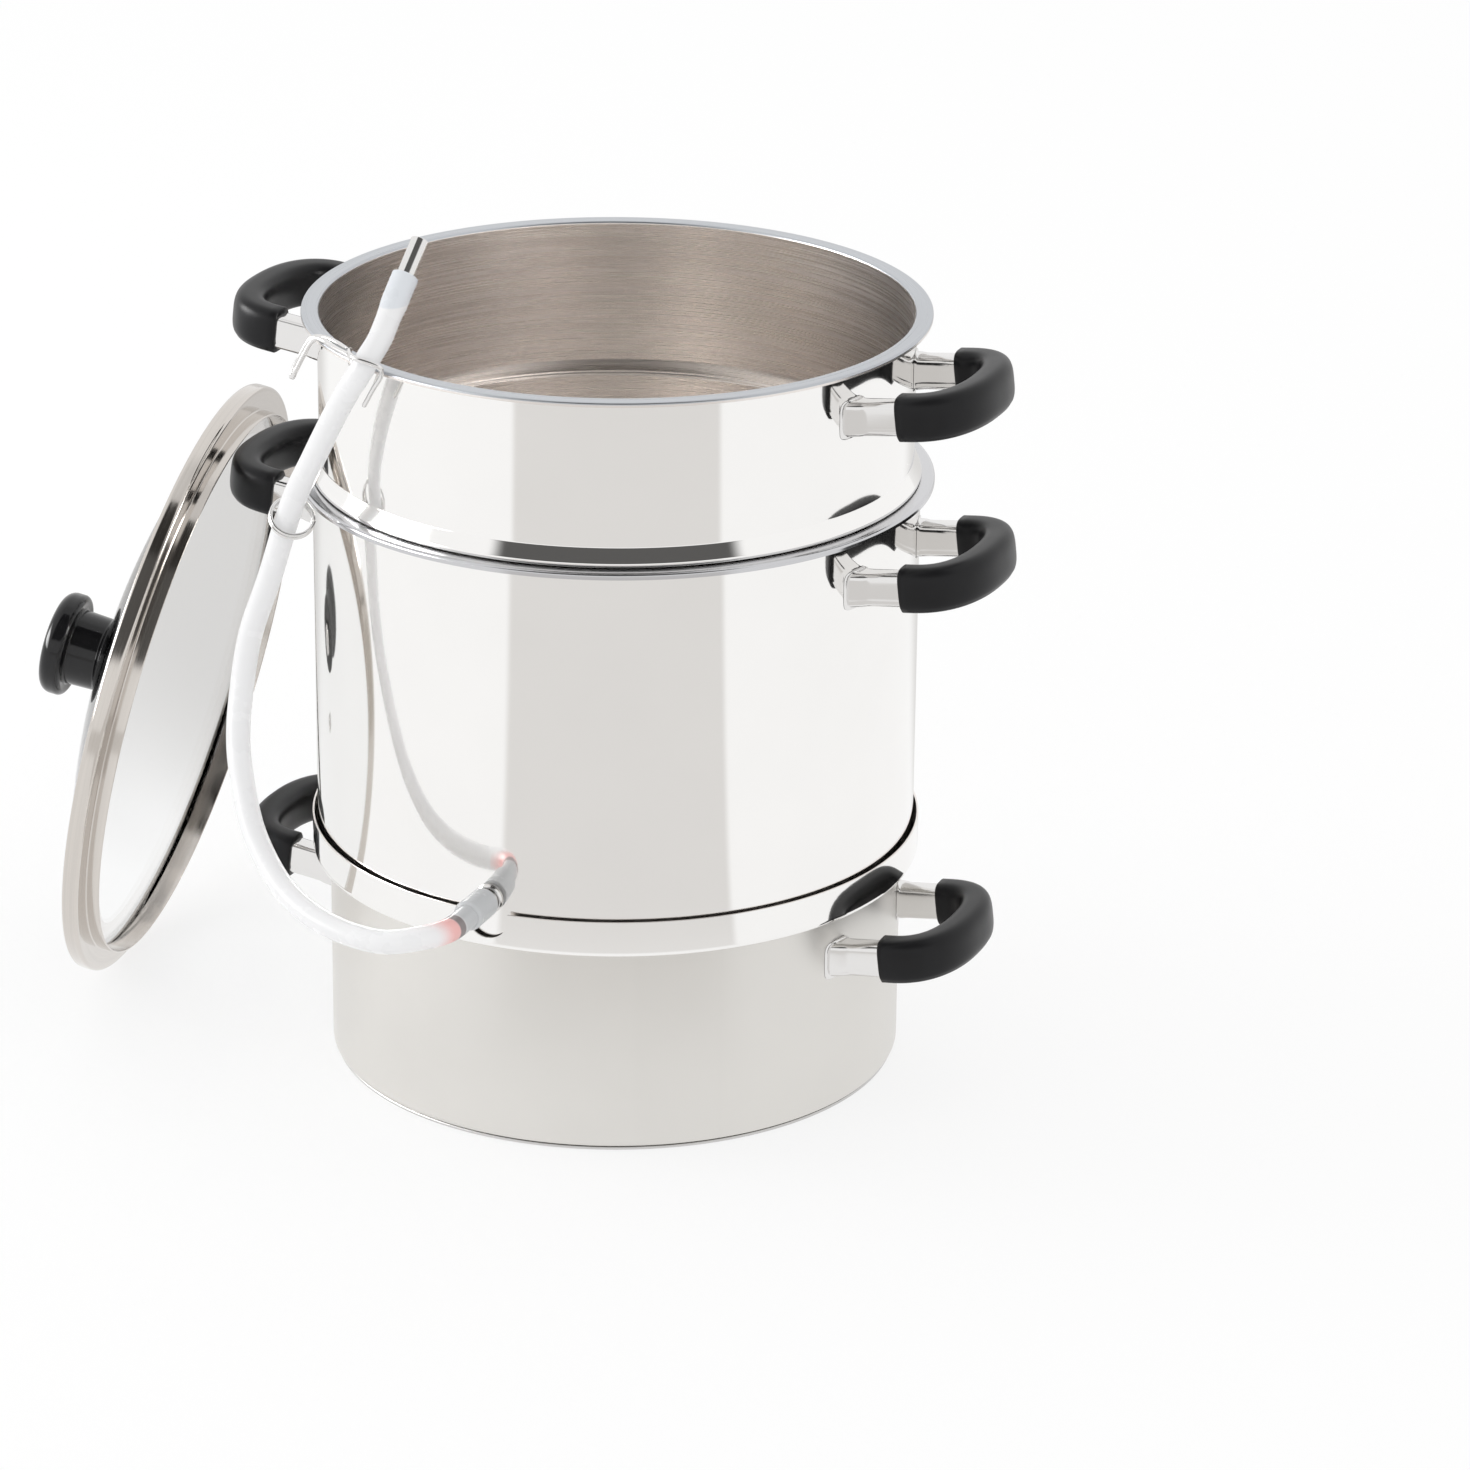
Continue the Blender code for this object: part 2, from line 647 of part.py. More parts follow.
hose_end = hose_points[-1]
outlet_way = (hose_end - hose_points[-2]).normalized()
outlet_turn = outlet_way.to_track_quat("Z", "Y").to_matrix().to_4x4()
outlet_matrix = Matrix.Translation(hose_end + outlet_way * GAP) @ outlet_turn
outlet_path = [
    (OUTLET_RADIUS, OUTLET_LENGTH),
    (OUTLET_RADIUS, 0.0),
    (OUTLET_BORE, 0.0),
    (OUTLET_BORE, OUTLET_LENGTH),
]
turned(
    "outlet_tube",
    outlet_path,
    POLISHED_STEEL,
    steps=SMALL_STEPS,
    closed=True,
    matrix=outlet_matrix,
    parent=basket_lift,
)

# The clip's corners: degrees round the rim, share of the lip's width outward, share of the leg's length up
CLIP_SHAPE_SHARES = [
    (-115.6, 0.304, -0.942),
    (-113.2, 0.304, -0.500),
    (-111.0, 0.333, -0.120),
    (-110.4, 0.780, 0.137),
    (-114.0, 1.550, 0.295),
    (-118.4, 0.700, 0.240),
    (-121.5, -0.160, 0.130),
    (-125.0, -0.500, 0.010),
    (-129.0, -0.560, 0.000),
    (-132.6, -0.304, 0.000),
    (-134.8, 0.304, -0.063),
    (-136.2, 0.855, -0.468),
    (-137.2, 1.320, -0.889),
    (-136.6, 1.440, -1.010),
    (-136.0, 1.320, -0.889),
    (-135.0, 0.855, -0.468),
    (-133.5, 0.333, -0.040),
    (-131.0, 0.020, 0.000),
    (-126.0, 0.000, 0.000),
    (-121.0, 0.080, 0.000),
    (-118.6, 0.330, -0.120),
    (-120.6, 0.304, -0.500),
    (-123.3, 0.304, -1.047),
]
clip_rest = BASKET_RIM + GAP + CLIP_WIRE
clip_corners = []
for angle, out_share, up_share in CLIP_SHAPE_SHARES:
    reach = BASKET_LIP_RADIUS + out_share * BASKET_LIP_WIDTH
    turn = math.radians(angle)
    height = clip_rest + up_share * CLIP_LEG_LENGTH
    clip_corners.append((reach * math.cos(turn), reach * math.sin(turn), height))
wire("rim_clip", smooth_path(clip_corners, CLIP_POINTS), CLIP_WIRE, WIRE_STEEL, parent=basket_lift)

clamp_at = int(CLAMP_PLACE_SHARE * (HOSE_POINTS - 1))
along = (hose_points[clamp_at + 1] - hose_points[clamp_at - 1]).normalized()
outward = Vector((math.sin(CLAMP_FACING), -math.cos(CLAMP_FACING), 0.0))
outward = (outward - along * outward.dot(along)).normalized()
clamp_axis = math.cos(CLAMP_TILT) * along + math.sin(CLAMP_TILT) * outward
across = along.cross(outward)
clamp_centre = hose_points[clamp_at] + across * CLAMP_SHIFT
upward = clamp_axis.cross(across)
coil = []
for k in range(CLAMP_POINTS + 1):
    share = k / CLAMP_POINTS
    turn = 2 * math.pi * CLAMP_TURNS * share
    ring_point = clamp_centre + CLAMP_RADIUS * (math.cos(turn) * across + math.sin(turn) * upward)
    coil.append(ring_point + clamp_axis * CLAMP_PITCH * CLAMP_TURNS * (share - 0.5))
wire("hose_clamp", coil, CLAMP_WIRE, WIRE_STEEL, resolution=1, parent=pan_lift)
turn_points = CLAMP_POINTS // CLAMP_TURNS
clamp_gap = min(
    (coil[j] - coil[i]).length for i in range(len(coil)) for j in range(i + turn_points // 2, len(coil))
)
print("least gap between the clamp's turns in mm:", round((clamp_gap - 2 * CLAMP_WIRE) * 1000, 2))

# Lid, in its own frame: Z along its axis out to the knob, from the lower edge of its skirt
skirt_bore = SKIRT_RADIUS - SHEET
band_top = LID_SKIRT_DEPTH + LID_BAND_HEIGHT
glass_top = band_top - SHEET - GAP
glass_under = glass_top - GLASS_THICKNESS
slot_floor = glass_under - GAP
glass_edge = LID_RADIUS - 2 * SHEET - GAP
cover_edge = LID_RADIUS - LID_BAND_COVER
dome_radius = (cover_edge**2 + GLASS_RISE**2) / (2 * GLASS_RISE)


def dome(radius):
    """Height of the glass's underside at this distance from the lid's axis."""
    if radius >= cover_edge:
        return glass_under
    return glass_under + GLASS_RISE - dome_radius + math.sqrt(dome_radius**2 - radius**2)


band_path = [
    (cover_edge, band_top, 0.0),
    (LID_RADIUS, band_top, LID_BAND_ROUND),
    (LID_RADIUS, LID_SKIRT_DEPTH, LID_BAND_ROUND),
    (SKIRT_RADIUS, LID_SKIRT_DEPTH, 0.0),
    (SKIRT_RADIUS, 0.0, 0.0),
    (skirt_bore, 0.0, 0.0),
    (skirt_bore, slot_floor, 0.0),
    (glass_edge + GAP, slot_floor, 0.0),
    (glass_edge + GAP, glass_top + GAP, 0.0),
    (cover_edge, glass_top + GAP, 0.0),
]


lid_distance = PAN_RADIUS + GRIP_REACH + LID_FOOT_OUT


def lid_frame(lean):
    """Where the lid stands when it leans this far back from upright."""
    flat = math.cos(lean)
    axis = Vector((-flat * math.cos(LID_YAW), -flat * math.sin(LID_YAW), math.sin(lean)))
    level = Vector((0.0, 0.0, 1.0)).cross(axis).normalized()
    turn = Matrix((level, axis.cross(level), axis)).transposed().to_4x4()
    height = max(r * math.cos(lean) - h * math.sin(lean) for r, h, _ in band_path) + GAP
    return Matrix.Translation((-lid_distance, 0.0, height)) @ turn


def lid_room(lean):
    """The least room between the lid's inner side and the left grips."""
    back = lid_frame(lean).inverted()
    room = LID_RADIUS
    for point in left_grips:
        spot = back @ point
        radius = math.hypot(spot.x, spot.y)
        if radius > LID_RADIUS + GAP:
            continue
        ceiling = dome(radius) if radius < skirt_bore - GAP else 0.0
        room = min(room, ceiling - spot.z)
    return room


lid_lean = 0.0
too_far = LID_MOST_LEAN
for _ in range(40):
    middle = (lid_lean + too_far) / 2
    if lid_room(middle) < 2 * GAP:
        too_far = middle
    else:
        lid_lean = middle
print("the lid leans back by degrees:", round(math.degrees(lid_lean), 2))
lid_slide = carrier("lid_slide", lid_frame(lid_lean))

turned("lid_rim_band", rounded(band_path), SATIN_STEEL, closed=True, parent=lid_slide)

dome_shares = (0.0, 0.25, 0.5, 0.7, 0.86, 1.0)
bore = SCREW_RADIUS + 2 * GAP
dome_steps = [bore + share * (cover_edge - bore) for share in dome_shares]
glass_path = [(r, dome(r) + GLASS_THICKNESS) for r in dome_steps]
glass_path += [(glass_edge, glass_top), (glass_edge, glass_under)]
glass_path += [(r, dome(r)) for r in reversed(dome_steps)]
glass = turned("lid_glass", glass_path, CLEAR_GLASS, closed=True, parent=lid_slide)

vent_height = dome(VENT_PLACE)
vent_tilt = math.asin(VENT_PLACE / dome_radius)
vent_matrix = Matrix.Translation((0.0, -VENT_PLACE, vent_height)) @ Matrix.Rotation(vent_tilt, 4, "X")
vent_hole = turned(
    "vent_hole_cutter",
    [
        (0.0, GLASS_THICKNESS + OVERRUN),
        (VENT_TUBE_RADIUS + GAP, GLASS_THICKNESS + OVERRUN),
        (VENT_TUBE_RADIUS + GAP, -OVERRUN),
        (0.0, -OVERRUN),
    ],
    steps=SMALL_STEPS,
    matrix=vent_matrix,
    parent=lid_slide,
)
cut(glass, vent_hole)
vent_over = GLASS_THICKNESS + GAP
vent_path = [
    (VENT_BORE, vent_over + VENT_FLANGE_THICKNESS),
    (VENT_FLANGE_RADIUS, vent_over + VENT_FLANGE_THICKNESS),
    (VENT_FLANGE_RADIUS, vent_over),
    (VENT_TUBE_RADIUS, vent_over),
    (VENT_TUBE_RADIUS, -2 * GAP),
    (VENT_FLANGE_RADIUS, -2 * GAP),
    (VENT_FLANGE_RADIUS, -2 * GAP - VENT_FLANGE_THICKNESS),
    (VENT_BORE, -2 * GAP - VENT_FLANGE_THICKNESS),
]
turned(
    "lid_vent_grommet",
    vent_path,
    POLISHED_STEEL,
    steps=SMALL_STEPS,
    closed=True,
    matrix=vent_matrix,
    parent=lid_slide,
)

seat_foot = glass_under + GLASS_RISE + GLASS_THICKNESS + GAP
seat_path = [
    (bore, seat_foot + KNOB_SEAT_THICKNESS),
    (KNOB_SEAT_RADIUS, seat_foot + KNOB_SEAT_THICKNESS),
    (KNOB_SEAT_RADIUS, seat_foot),
    (bore, seat_foot),
]
turned("lid_knob_seat", seat_path, BLACK_RUBBER, steps=KNOB_STEPS, closed=True, parent=lid_slide)

knob_foot = seat_foot + KNOB_SEAT_THICKNESS + GAP
stem_top = knob_foot + KNOB_BASE_HEIGHT + KNOB_STEM_HEIGHT
cap_top = stem_top + KNOB_CAP_HEIGHT
knob_path = [
    (0.0, cap_top, 0.0),
    (KNOB_CAP_RADIUS, cap_top - KNOB_CAP_HEIGHT / 4, KNOB_CAP_HEIGHT / 2),
    (KNOB_CAP_RADIUS, stem_top, KNOB_CAP_HEIGHT / 3),
    (KNOB_STEM_RADIUS, stem_top, 0.0),
    (KNOB_STEM_RADIUS, knob_foot + KNOB_BASE_HEIGHT, 0.0),
    (KNOB_BASE_RADIUS, knob_foot + KNOB_BASE_HEIGHT / 2, 0.0),
    (KNOB_BASE_RADIUS, knob_foot, 0.0),
    (SCREW_RADIUS + GAP, knob_foot, 0.0),
    (SCREW_RADIUS + GAP, knob_foot + SCREW_IN_KNOB + GAP, 0.0),
    (0.0, knob_foot + SCREW_IN_KNOB + GAP, 0.0),
]
turned("lid_knob", rounded(knob_path), BLACK_GLOSS, steps=KNOB_STEPS, parent=lid_slide)

head_top = dome(SCREW_HEAD_RADIUS) - GAP
screw_path = [
    (0.0, knob_foot + SCREW_IN_KNOB, 0.0),
    (SCREW_RADIUS, knob_foot + SCREW_IN_KNOB, 0.0),
    (SCREW_RADIUS, head_top, 0.0),
    (SCREW_HEAD_RADIUS, head_top, 0.0),
    (SCREW_HEAD_RADIUS, head_top - SCREW_HEAD_HEIGHT, SCREW_HEAD_HEIGHT / 2),
    (0.0, head_top - SCREW_HEAD_HEIGHT, 0.0),
]
turned("lid_knob_screw", rounded(screw_path), WIRE_STEEL, steps=SMALL_STEPS, parent=lid_slide)
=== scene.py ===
"""Steam juicer: three steel vessels with black grips, a clipped silicone hose and a leaning glass lid.

Metres, in the frame of the CAD model: Z up from the centre of the pot's underside, the spout towards -Y.
"""

import math

import bmesh
import bpy
from mathutils import Matrix, Vector


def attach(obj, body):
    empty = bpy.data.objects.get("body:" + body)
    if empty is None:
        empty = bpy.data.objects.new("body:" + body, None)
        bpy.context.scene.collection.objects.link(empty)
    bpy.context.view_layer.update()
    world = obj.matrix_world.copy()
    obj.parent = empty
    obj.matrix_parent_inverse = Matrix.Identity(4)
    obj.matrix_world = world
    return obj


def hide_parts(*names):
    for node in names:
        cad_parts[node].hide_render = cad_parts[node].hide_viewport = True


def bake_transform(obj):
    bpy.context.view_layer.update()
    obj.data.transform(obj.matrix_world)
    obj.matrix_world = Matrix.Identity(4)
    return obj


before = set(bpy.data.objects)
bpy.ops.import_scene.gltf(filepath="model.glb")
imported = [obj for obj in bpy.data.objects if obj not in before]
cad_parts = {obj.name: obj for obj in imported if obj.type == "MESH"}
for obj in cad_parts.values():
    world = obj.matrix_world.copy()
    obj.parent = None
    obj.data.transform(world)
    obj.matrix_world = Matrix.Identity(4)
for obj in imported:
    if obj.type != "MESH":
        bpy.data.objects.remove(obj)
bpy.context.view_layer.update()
scene = bpy.context.scene

# Sheet, clearances and how finely round things are made
GAP = 0.0003
SHEET = 0.0008
WALL_STEPS = 192
SMALL_STEPS = 48
CURVE_STEPS = 60
TIP_SHARES = (0.35, 0.75, 0.95)
CREASE = 50
HOLD = 0.0003
FINE_HOLD = 0.0001

# Water pot
POT_RADIUS = 0.1278
POT_CORNER = 0.0014
POT_SHOULDER = 0.0945
SHOULDER_ROUND = 0.0012
COLLAR_RADIUS = 0.1356
COLLAR_CORNER = 0.0018
POT_RIM = 0.1112
POT_HANDLE_HEIGHT = 0.0728
BASE_PLATE_RADIUS = 0.1264
BASE_PLATE_THICKNESS = 0.0014
BASE_PLATE_EDGE = 0.0004
BASE_RECESS_EDGE = 0.1120
BASE_RECESS_RADIUS = 0.1115
BASE_RECESS_DEPTH = 0.0003
NOTCH_RADIUS = 0.0095
NOTCH_DEPTH = 0.0120
NOTCH_INSIDE = 0.0040
NOTCH_REACH = 0.0100
NOTCH_STEPS = 32

# Juice pan
PAN_RADIUS = 0.1332
PAN_CORNER = 0.0022
PAN_UNDERSIDE = 0.0956
PAN_RIM = 0.2705
PAN_HANDLE_HEIGHT = 0.2454
PAN_LIP_RADIUS = 0.1393
PAN_LIP_DROP = 0.0027
PAN_LIP_ROUND = 0.0024
PAN_LIP_DEPTH = 0.0032
LIP_ROUND = 0.0012
CONE_BASE_RADIUS = 0.0500
CONE_TOP_RADIUS = 0.0260
CONE_HEIGHT = 0.0900
CONE_FLANGE = 0.0080
CONE_FOOT_INSET = 0.0020
CONE_FOOT_ROUND = 0.0030
CONE_LIP_FLARE = 0.0006
CONE_LIP_HEIGHT = 0.0010
CONE_LIP_ROUND = 0.0006
CONE_STEPS = 128

# Fruit basket
BASKET_RADIUS = 0.1302
BASKET_UNDERSIDE = 0.2045
BASKET_RIM = 0.3445
BASKET_HANDLE_HEIGHT = 0.3214
BASKET_LIP_RADIUS = 0.1371
BASKET_LIP_DROP = 0.0020
BASKET_LIP_DEPTH = 0.0011
BEAD_RADIUS = 0.1336
BEAD_BOTTOM = 0.2716
BEAD_TOP = 0.2726
BEAD_SLOPE = 0.0062
BEAD_SLOPE_ROUND = 0.0020
BEAD_FACE_ROUND = 0.0005
BEAD_SEAT_ROUND = 0.0004
BASKET_CORNER = 0.0100
HOLE_RADIUS = 0.0026
HOLE_PITCH = 0.0105
HOLE_RINGS = 9
HOLE_SIDES = 20

# Spout
SPOUT_HEIGHT = 0.1166
SPOUT_RADIUS = 0.0042
SPOUT_BORE = 0.0031
SPOUT_BORE_END = 0.1686
SPOUT_INSIDE = 0.0030
SPOUT_NECK_RADIUS = 0.0052
SPOUT_NECK_END = 0.1430
SPOUT_NECK_ROUND = 0.0006
NIPPLE_RADIUS = 0.0035
NIPPLE_START = 0.1450
NIPPLE_TIP_RADIUS = 0.0034
SPOUT_END = 0.1690
FLANGE_RADIUS = 0.0066
FLANGE_THICKNESS = 0.0014
FLANGE_BEVEL = 0.0006
FLANGE_ROUND = 0.0005
FLANGE_EDGE = 0.0004
FLANGE_SINK = 0.0002

# Hose and what it carries
HOSE_RADIUS = 0.00525
HOSE_BORE = 0.0035
HOSE_POINTS = 124
HOSE_SIDES = 40
STRETCH_SHARE = 0.10
STRETCH_START_SHARE = 0.955
STRETCH_RUN_SHARE = 0.012
CUFF_RADIUS = 0.0067
CUFF_BORE = 0.0053
CUFF_FACE_RADIUS = 0.0056
CUFF_FRONT_RADIUS = 0.0066
CUFF_FRONT_ROUND = 0.0005
CUFF_START = 0.1378
CUFF_TAPER_START = 0.1540
CUFF_TAPER_ROUND = 0.0006
CUFF_END = 0.1552
OUTLET_RADIUS = 0.0040
OUTLET_BORE = 0.0033
OUTLET_LENGTH = 0.0170
OUTLET_BORE_ROUND = 0.0002
OUTLET_EDGE_ROUND = 0.0003
CLIP_WIRE = 0.0011
CLIP_LEG = 0.0190
CLIP_POINTS = 180
CLAMP_WIRE = 0.0008
CLAMP_RADIUS = 0.0094
CLAMP_PITCH = 0.0024
CLAMP_SHARE = 0.679
CLAMP_TILT = math.radians(41.3)
CLAMP_OFFSET = 0.0019
CLAMP_STEPS = 144
HOSE_ROUTE = [
    (0.0000, -0.1440, 0.1166),
    (0.0000, -0.1570, 0.1166),
    (-0.0010, -0.1700, 0.1162),
    (-0.0082, -0.1788, 0.1150),
    (-0.0249, -0.1840, 0.1119),
    (-0.0452, -0.1821, 0.1123),
    (-0.0646, -0.1765, 0.1157),
    (-0.0827, -0.1682, 0.1234),
    (-0.0990, -0.1579, 0.1379),
    (-0.1088, -0.1491, 0.1548),
    (-0.1152, -0.1411, 0.1739),
    (-0.1169, -0.1335, 0.1950),
    (-0.1150, -0.1280, 0.2180),
    (-0.1068, -0.1244, 0.2448),
    (-0.0981, -0.1195, 0.2772),
    (-0.0871, -0.1212, 0.2988),
    (-0.0741, -0.1258, 0.3217),
    (-0.0660, -0.1290, 0.3345),
    (-0.0600, -0.1308, 0.3430),
    (-0.0566, -0.1285, 0.3500),
    (-0.0552, -0.1210, 0.3556),
    (-0.0551, -0.1139, 0.3615),
    (-0.0548, -0.1050, 0.3700),
    (-0.0540, -0.0980, 0.3775),
]

# Side handles: two welded legs of pressed steel and a C-shaped grip each
HANDLE_RISE = math.radians(6.9)
LEG_OFFSET = 0.0350
LEG_LENGTH = 0.0205
LEG_HALF_WIDTH = 0.0055
LEG_HALF_HEIGHT = 0.0074
LEG_SQUARENESS = 5.0
LEG_SIDES = 48
LEG_STATIONS = (0.0006, 0.0014, 0.0024, 0.0036, 0.0050, 0.0066, 0.0080, 0.0120, 0.0160)
WELD_REACH = 0.0066
WELD_FLARE = 0.0040
WELD_HEIGHT = 0.0013
WELD_CURVE = 2.2
WELD_CLEARANCE = 0.0004
WELD_STEP = 0.0005
WELD_FOLLOW_SHARE = 0.3
GROOVE_DEPTH = 0.0004
GROOVE_PLACE = 0.62
GROOVE_WIDTH = 0.07
GRIP_REACH = 0.0535
GRIP_LEAD = 0.0040
GRIP_HALF_THICKNESS = 0.0072
GRIP_HALF_HEIGHT = 0.0100
GRIP_SQUARENESS = 2.4
GRIP_ROUNDNESS = 3.4
GRIP_SIDES = 56
GRIP_EDGE = 0.0005
SEAM_DEPTH = 0.00018
SEAM_SIDES = (48, 49)
BOW_STEPS = 160
BOW_POINTS = 75

# Lid, in its own frame: Z along its axis out to the knob, from the lower edge of its skirt
LID_RADIUS = 0.1400
SKIRT_RADIUS = 0.1292
SKIRT_DEPTH = 0.0063
SKIRT_ROOT_ROUND = 0.0006
SKIRT_EDGE = 0.0003
BAND_TOP = 0.0140
BAND_CORNER = 0.0018
BAND_UNDER_CORNER = 0.0016
COVER_EDGE = 0.1310
GLASS_THICKNESS = 0.0040
GLASS_RISE = 0.0270
GLASS_STEPS = 24
LID_LEAN = math.radians(12.509)
LID_YAW = math.radians(10.7)
LID_PLACE = (-0.2095, 0.0, 0.135612)
SCREW_BORE = 0.0028
VENT_REACH = 0.0450
VENT_BORE = 0.0032
VENT_CUT_TOP = 0.0090
VENT_CUT_FOOT = -0.0050
VENT_CUT_STEPS = 32
EYELET_BORE = 0.0020
EYELET_TUBE_RADIUS = 0.0029
EYELET_FLANGE_RADIUS = 0.0046
EYELET_EDGE = 0.0004
EYELET_FOOT_EDGE = 0.0003
EYELET_TOP = 0.0050
EYELET_TOP_SEAT = 0.0043
EYELET_FOOT_SEAT = -0.0006
EYELET_FOOT = -0.0013
EYELET_MOUTH = 0.0046
EYELET_STEPS = 40
SEAT_RADIUS = 0.0200
SEAT_THICKNESS = 0.0015
SEAT_TOP_ROUND = 0.0004
SEAT_FOOT_ROUND = 0.0003
SEAT_STEPS = 96
KNOB_RADIUS = 0.0240
KNOB_HEIGHT = 0.0300
KNOB_TOP_FLAT = 0.0130
KNOB_TOP_DIP = 0.0006
KNOB_TOP_ROUND = 0.0100
KNOB_SIDE_DROP = 0.0012
KNOB_SIDE_ROUND = 0.0052
KNOB_CAP_DEPTH = 0.0120
KNOB_CAP_ROUND = 0.0046
KNOB_NECK_RADIUS = 0.0176
KNOB_NECK_DEPTH = 0.0112
KNOB_NECK_ROUND = 0.0010
KNOB_STEM_RADIUS = 0.0170
KNOB_STEM_FOOT = 0.0042
KNOB_STEM_ROUND = 0.0016
KNOB_BASE_TOP_RADIUS = 0.0204
KNOB_BASE_HEIGHT = 0.0026
KNOB_BASE_ROUND = 0.0008
KNOB_BASE_RADIUS = 0.0205
KNOB_BASE_EDGE = 0.0003
KNOB_HOLE_RADIUS = 0.0026
KNOB_HOLE_DEPTH = 0.0113
KNOB_STEPS = 128
KNOB_ROUND_STEPS = 10
SCREW_DEPTH = 0.0110
SCREW_RADIUS = 0.0022
SCREW_HEAD_RADIUS = 0.0085
SCREW_HEAD_HEIGHT = 0.0022
SCREW_HEAD_EDGE = 0.0003
SCREW_HEAD_ROUND = 0.0012
SCREW_STEPS = 64
SCREW_ROUND_STEPS = 8
SLOT_BOX = (0.0120, 0.0012, 0.0020)
SLOT_DROP = 0.0024

# Studio table and lamp
TABLE_HALF = 20
LAMP_PLACE = (-2.2, -0.55, 0.80)
LAMP_AIM = (0.0, 0.0, 0.15)
LAMP_SIZE = (1.1, 0.8)
LAMP_POWER = 14.0

# Camera: as far from the juicer and as steep as the photograph's
CAMERA_PLACE = (0.9762, -2.1925, 1.0826)
CAMERA_FACING = math.radians(24)
CAMERA_YAW = 0.0221
CAMERA_PITCH = 0.3725
CAMERA_ROLL = 0.0114
CAMERA_LENS = 141.4
CAMERA_SENSOR = 36
CAMERA_CLIP = 40
camera_data = bpy.data.cameras.new("camera")
camera_data.lens = CAMERA_LENS
camera_data.sensor_width = CAMERA_SENSOR
camera_data.clip_end = CAMERA_CLIP
camera = bpy.data.objects.new("camera", camera_data)
scene.collection.objects.link(camera)
look = Vector(
    (
        math.sin(CAMERA_YAW) * math.cos(CAMERA_PITCH),
        math.cos(CAMERA_YAW) * math.cos(CAMERA_PITCH),
        -math.sin(CAMERA_PITCH),
    )
)
level = Vector((math.cos(CAMERA_YAW), -math.sin(CAMERA_YAW), 0.0))
right = Matrix.Rotation(-CAMERA_ROLL, 3, look) @ level
turn = Matrix((right, right.cross(look), -look)).transposed().to_4x4()
camera.matrix_world = Matrix.Translation(CAMERA_PLACE) @ Matrix.Rotation(CAMERA_FACING, 4, "Z") @ turn
scene.camera = camera
scene.view_settings.view_transform = "Standard"


# Finishes
class Reading:
    """A value that varies over a surface. A sum written with it adds the nodes that work it out."""

    def __init__(self, finish, socket):
        self.finish = finish
        self.socket = socket

    def sum(self, operation, *values):
        return self.finish.add("ShaderNodeMath", {"operation": operation}, dict(enumerate(values)))

    def __add__(self, other):
        return self.sum("ADD", self, other)

    def __sub__(self, other):
        return self.sum("SUBTRACT", self, other)

    def __rsub__(self, other):
        return self.sum("SUBTRACT", other, self)

    def __mul__(self, other):
        return self.sum("MULTIPLY", self, other)

    def __truediv__(self, other):
        return self.sum("DIVIDE", self, other)

    def __gt__(self, other):
        return self.sum("GREATER_THAN", self, other)

    def root(self):
        return self.sum("SQRT", self)

    def limited(self):
        return self.sum("MAXIMUM", self.sum("MINIMUM", self, 1.0), 0.0)

    def between(self, low, high):
        """0 below low, 1 above high, with a soft step."""
        return self.finish.add(
            "ShaderNodeMapRange",
            {"interpolation_type": "SMOOTHSTEP"},
            {"Value": self, "From Min": low, "From Max": high},
        )

    __radd__ = __add__
    __rmul__ = __mul__


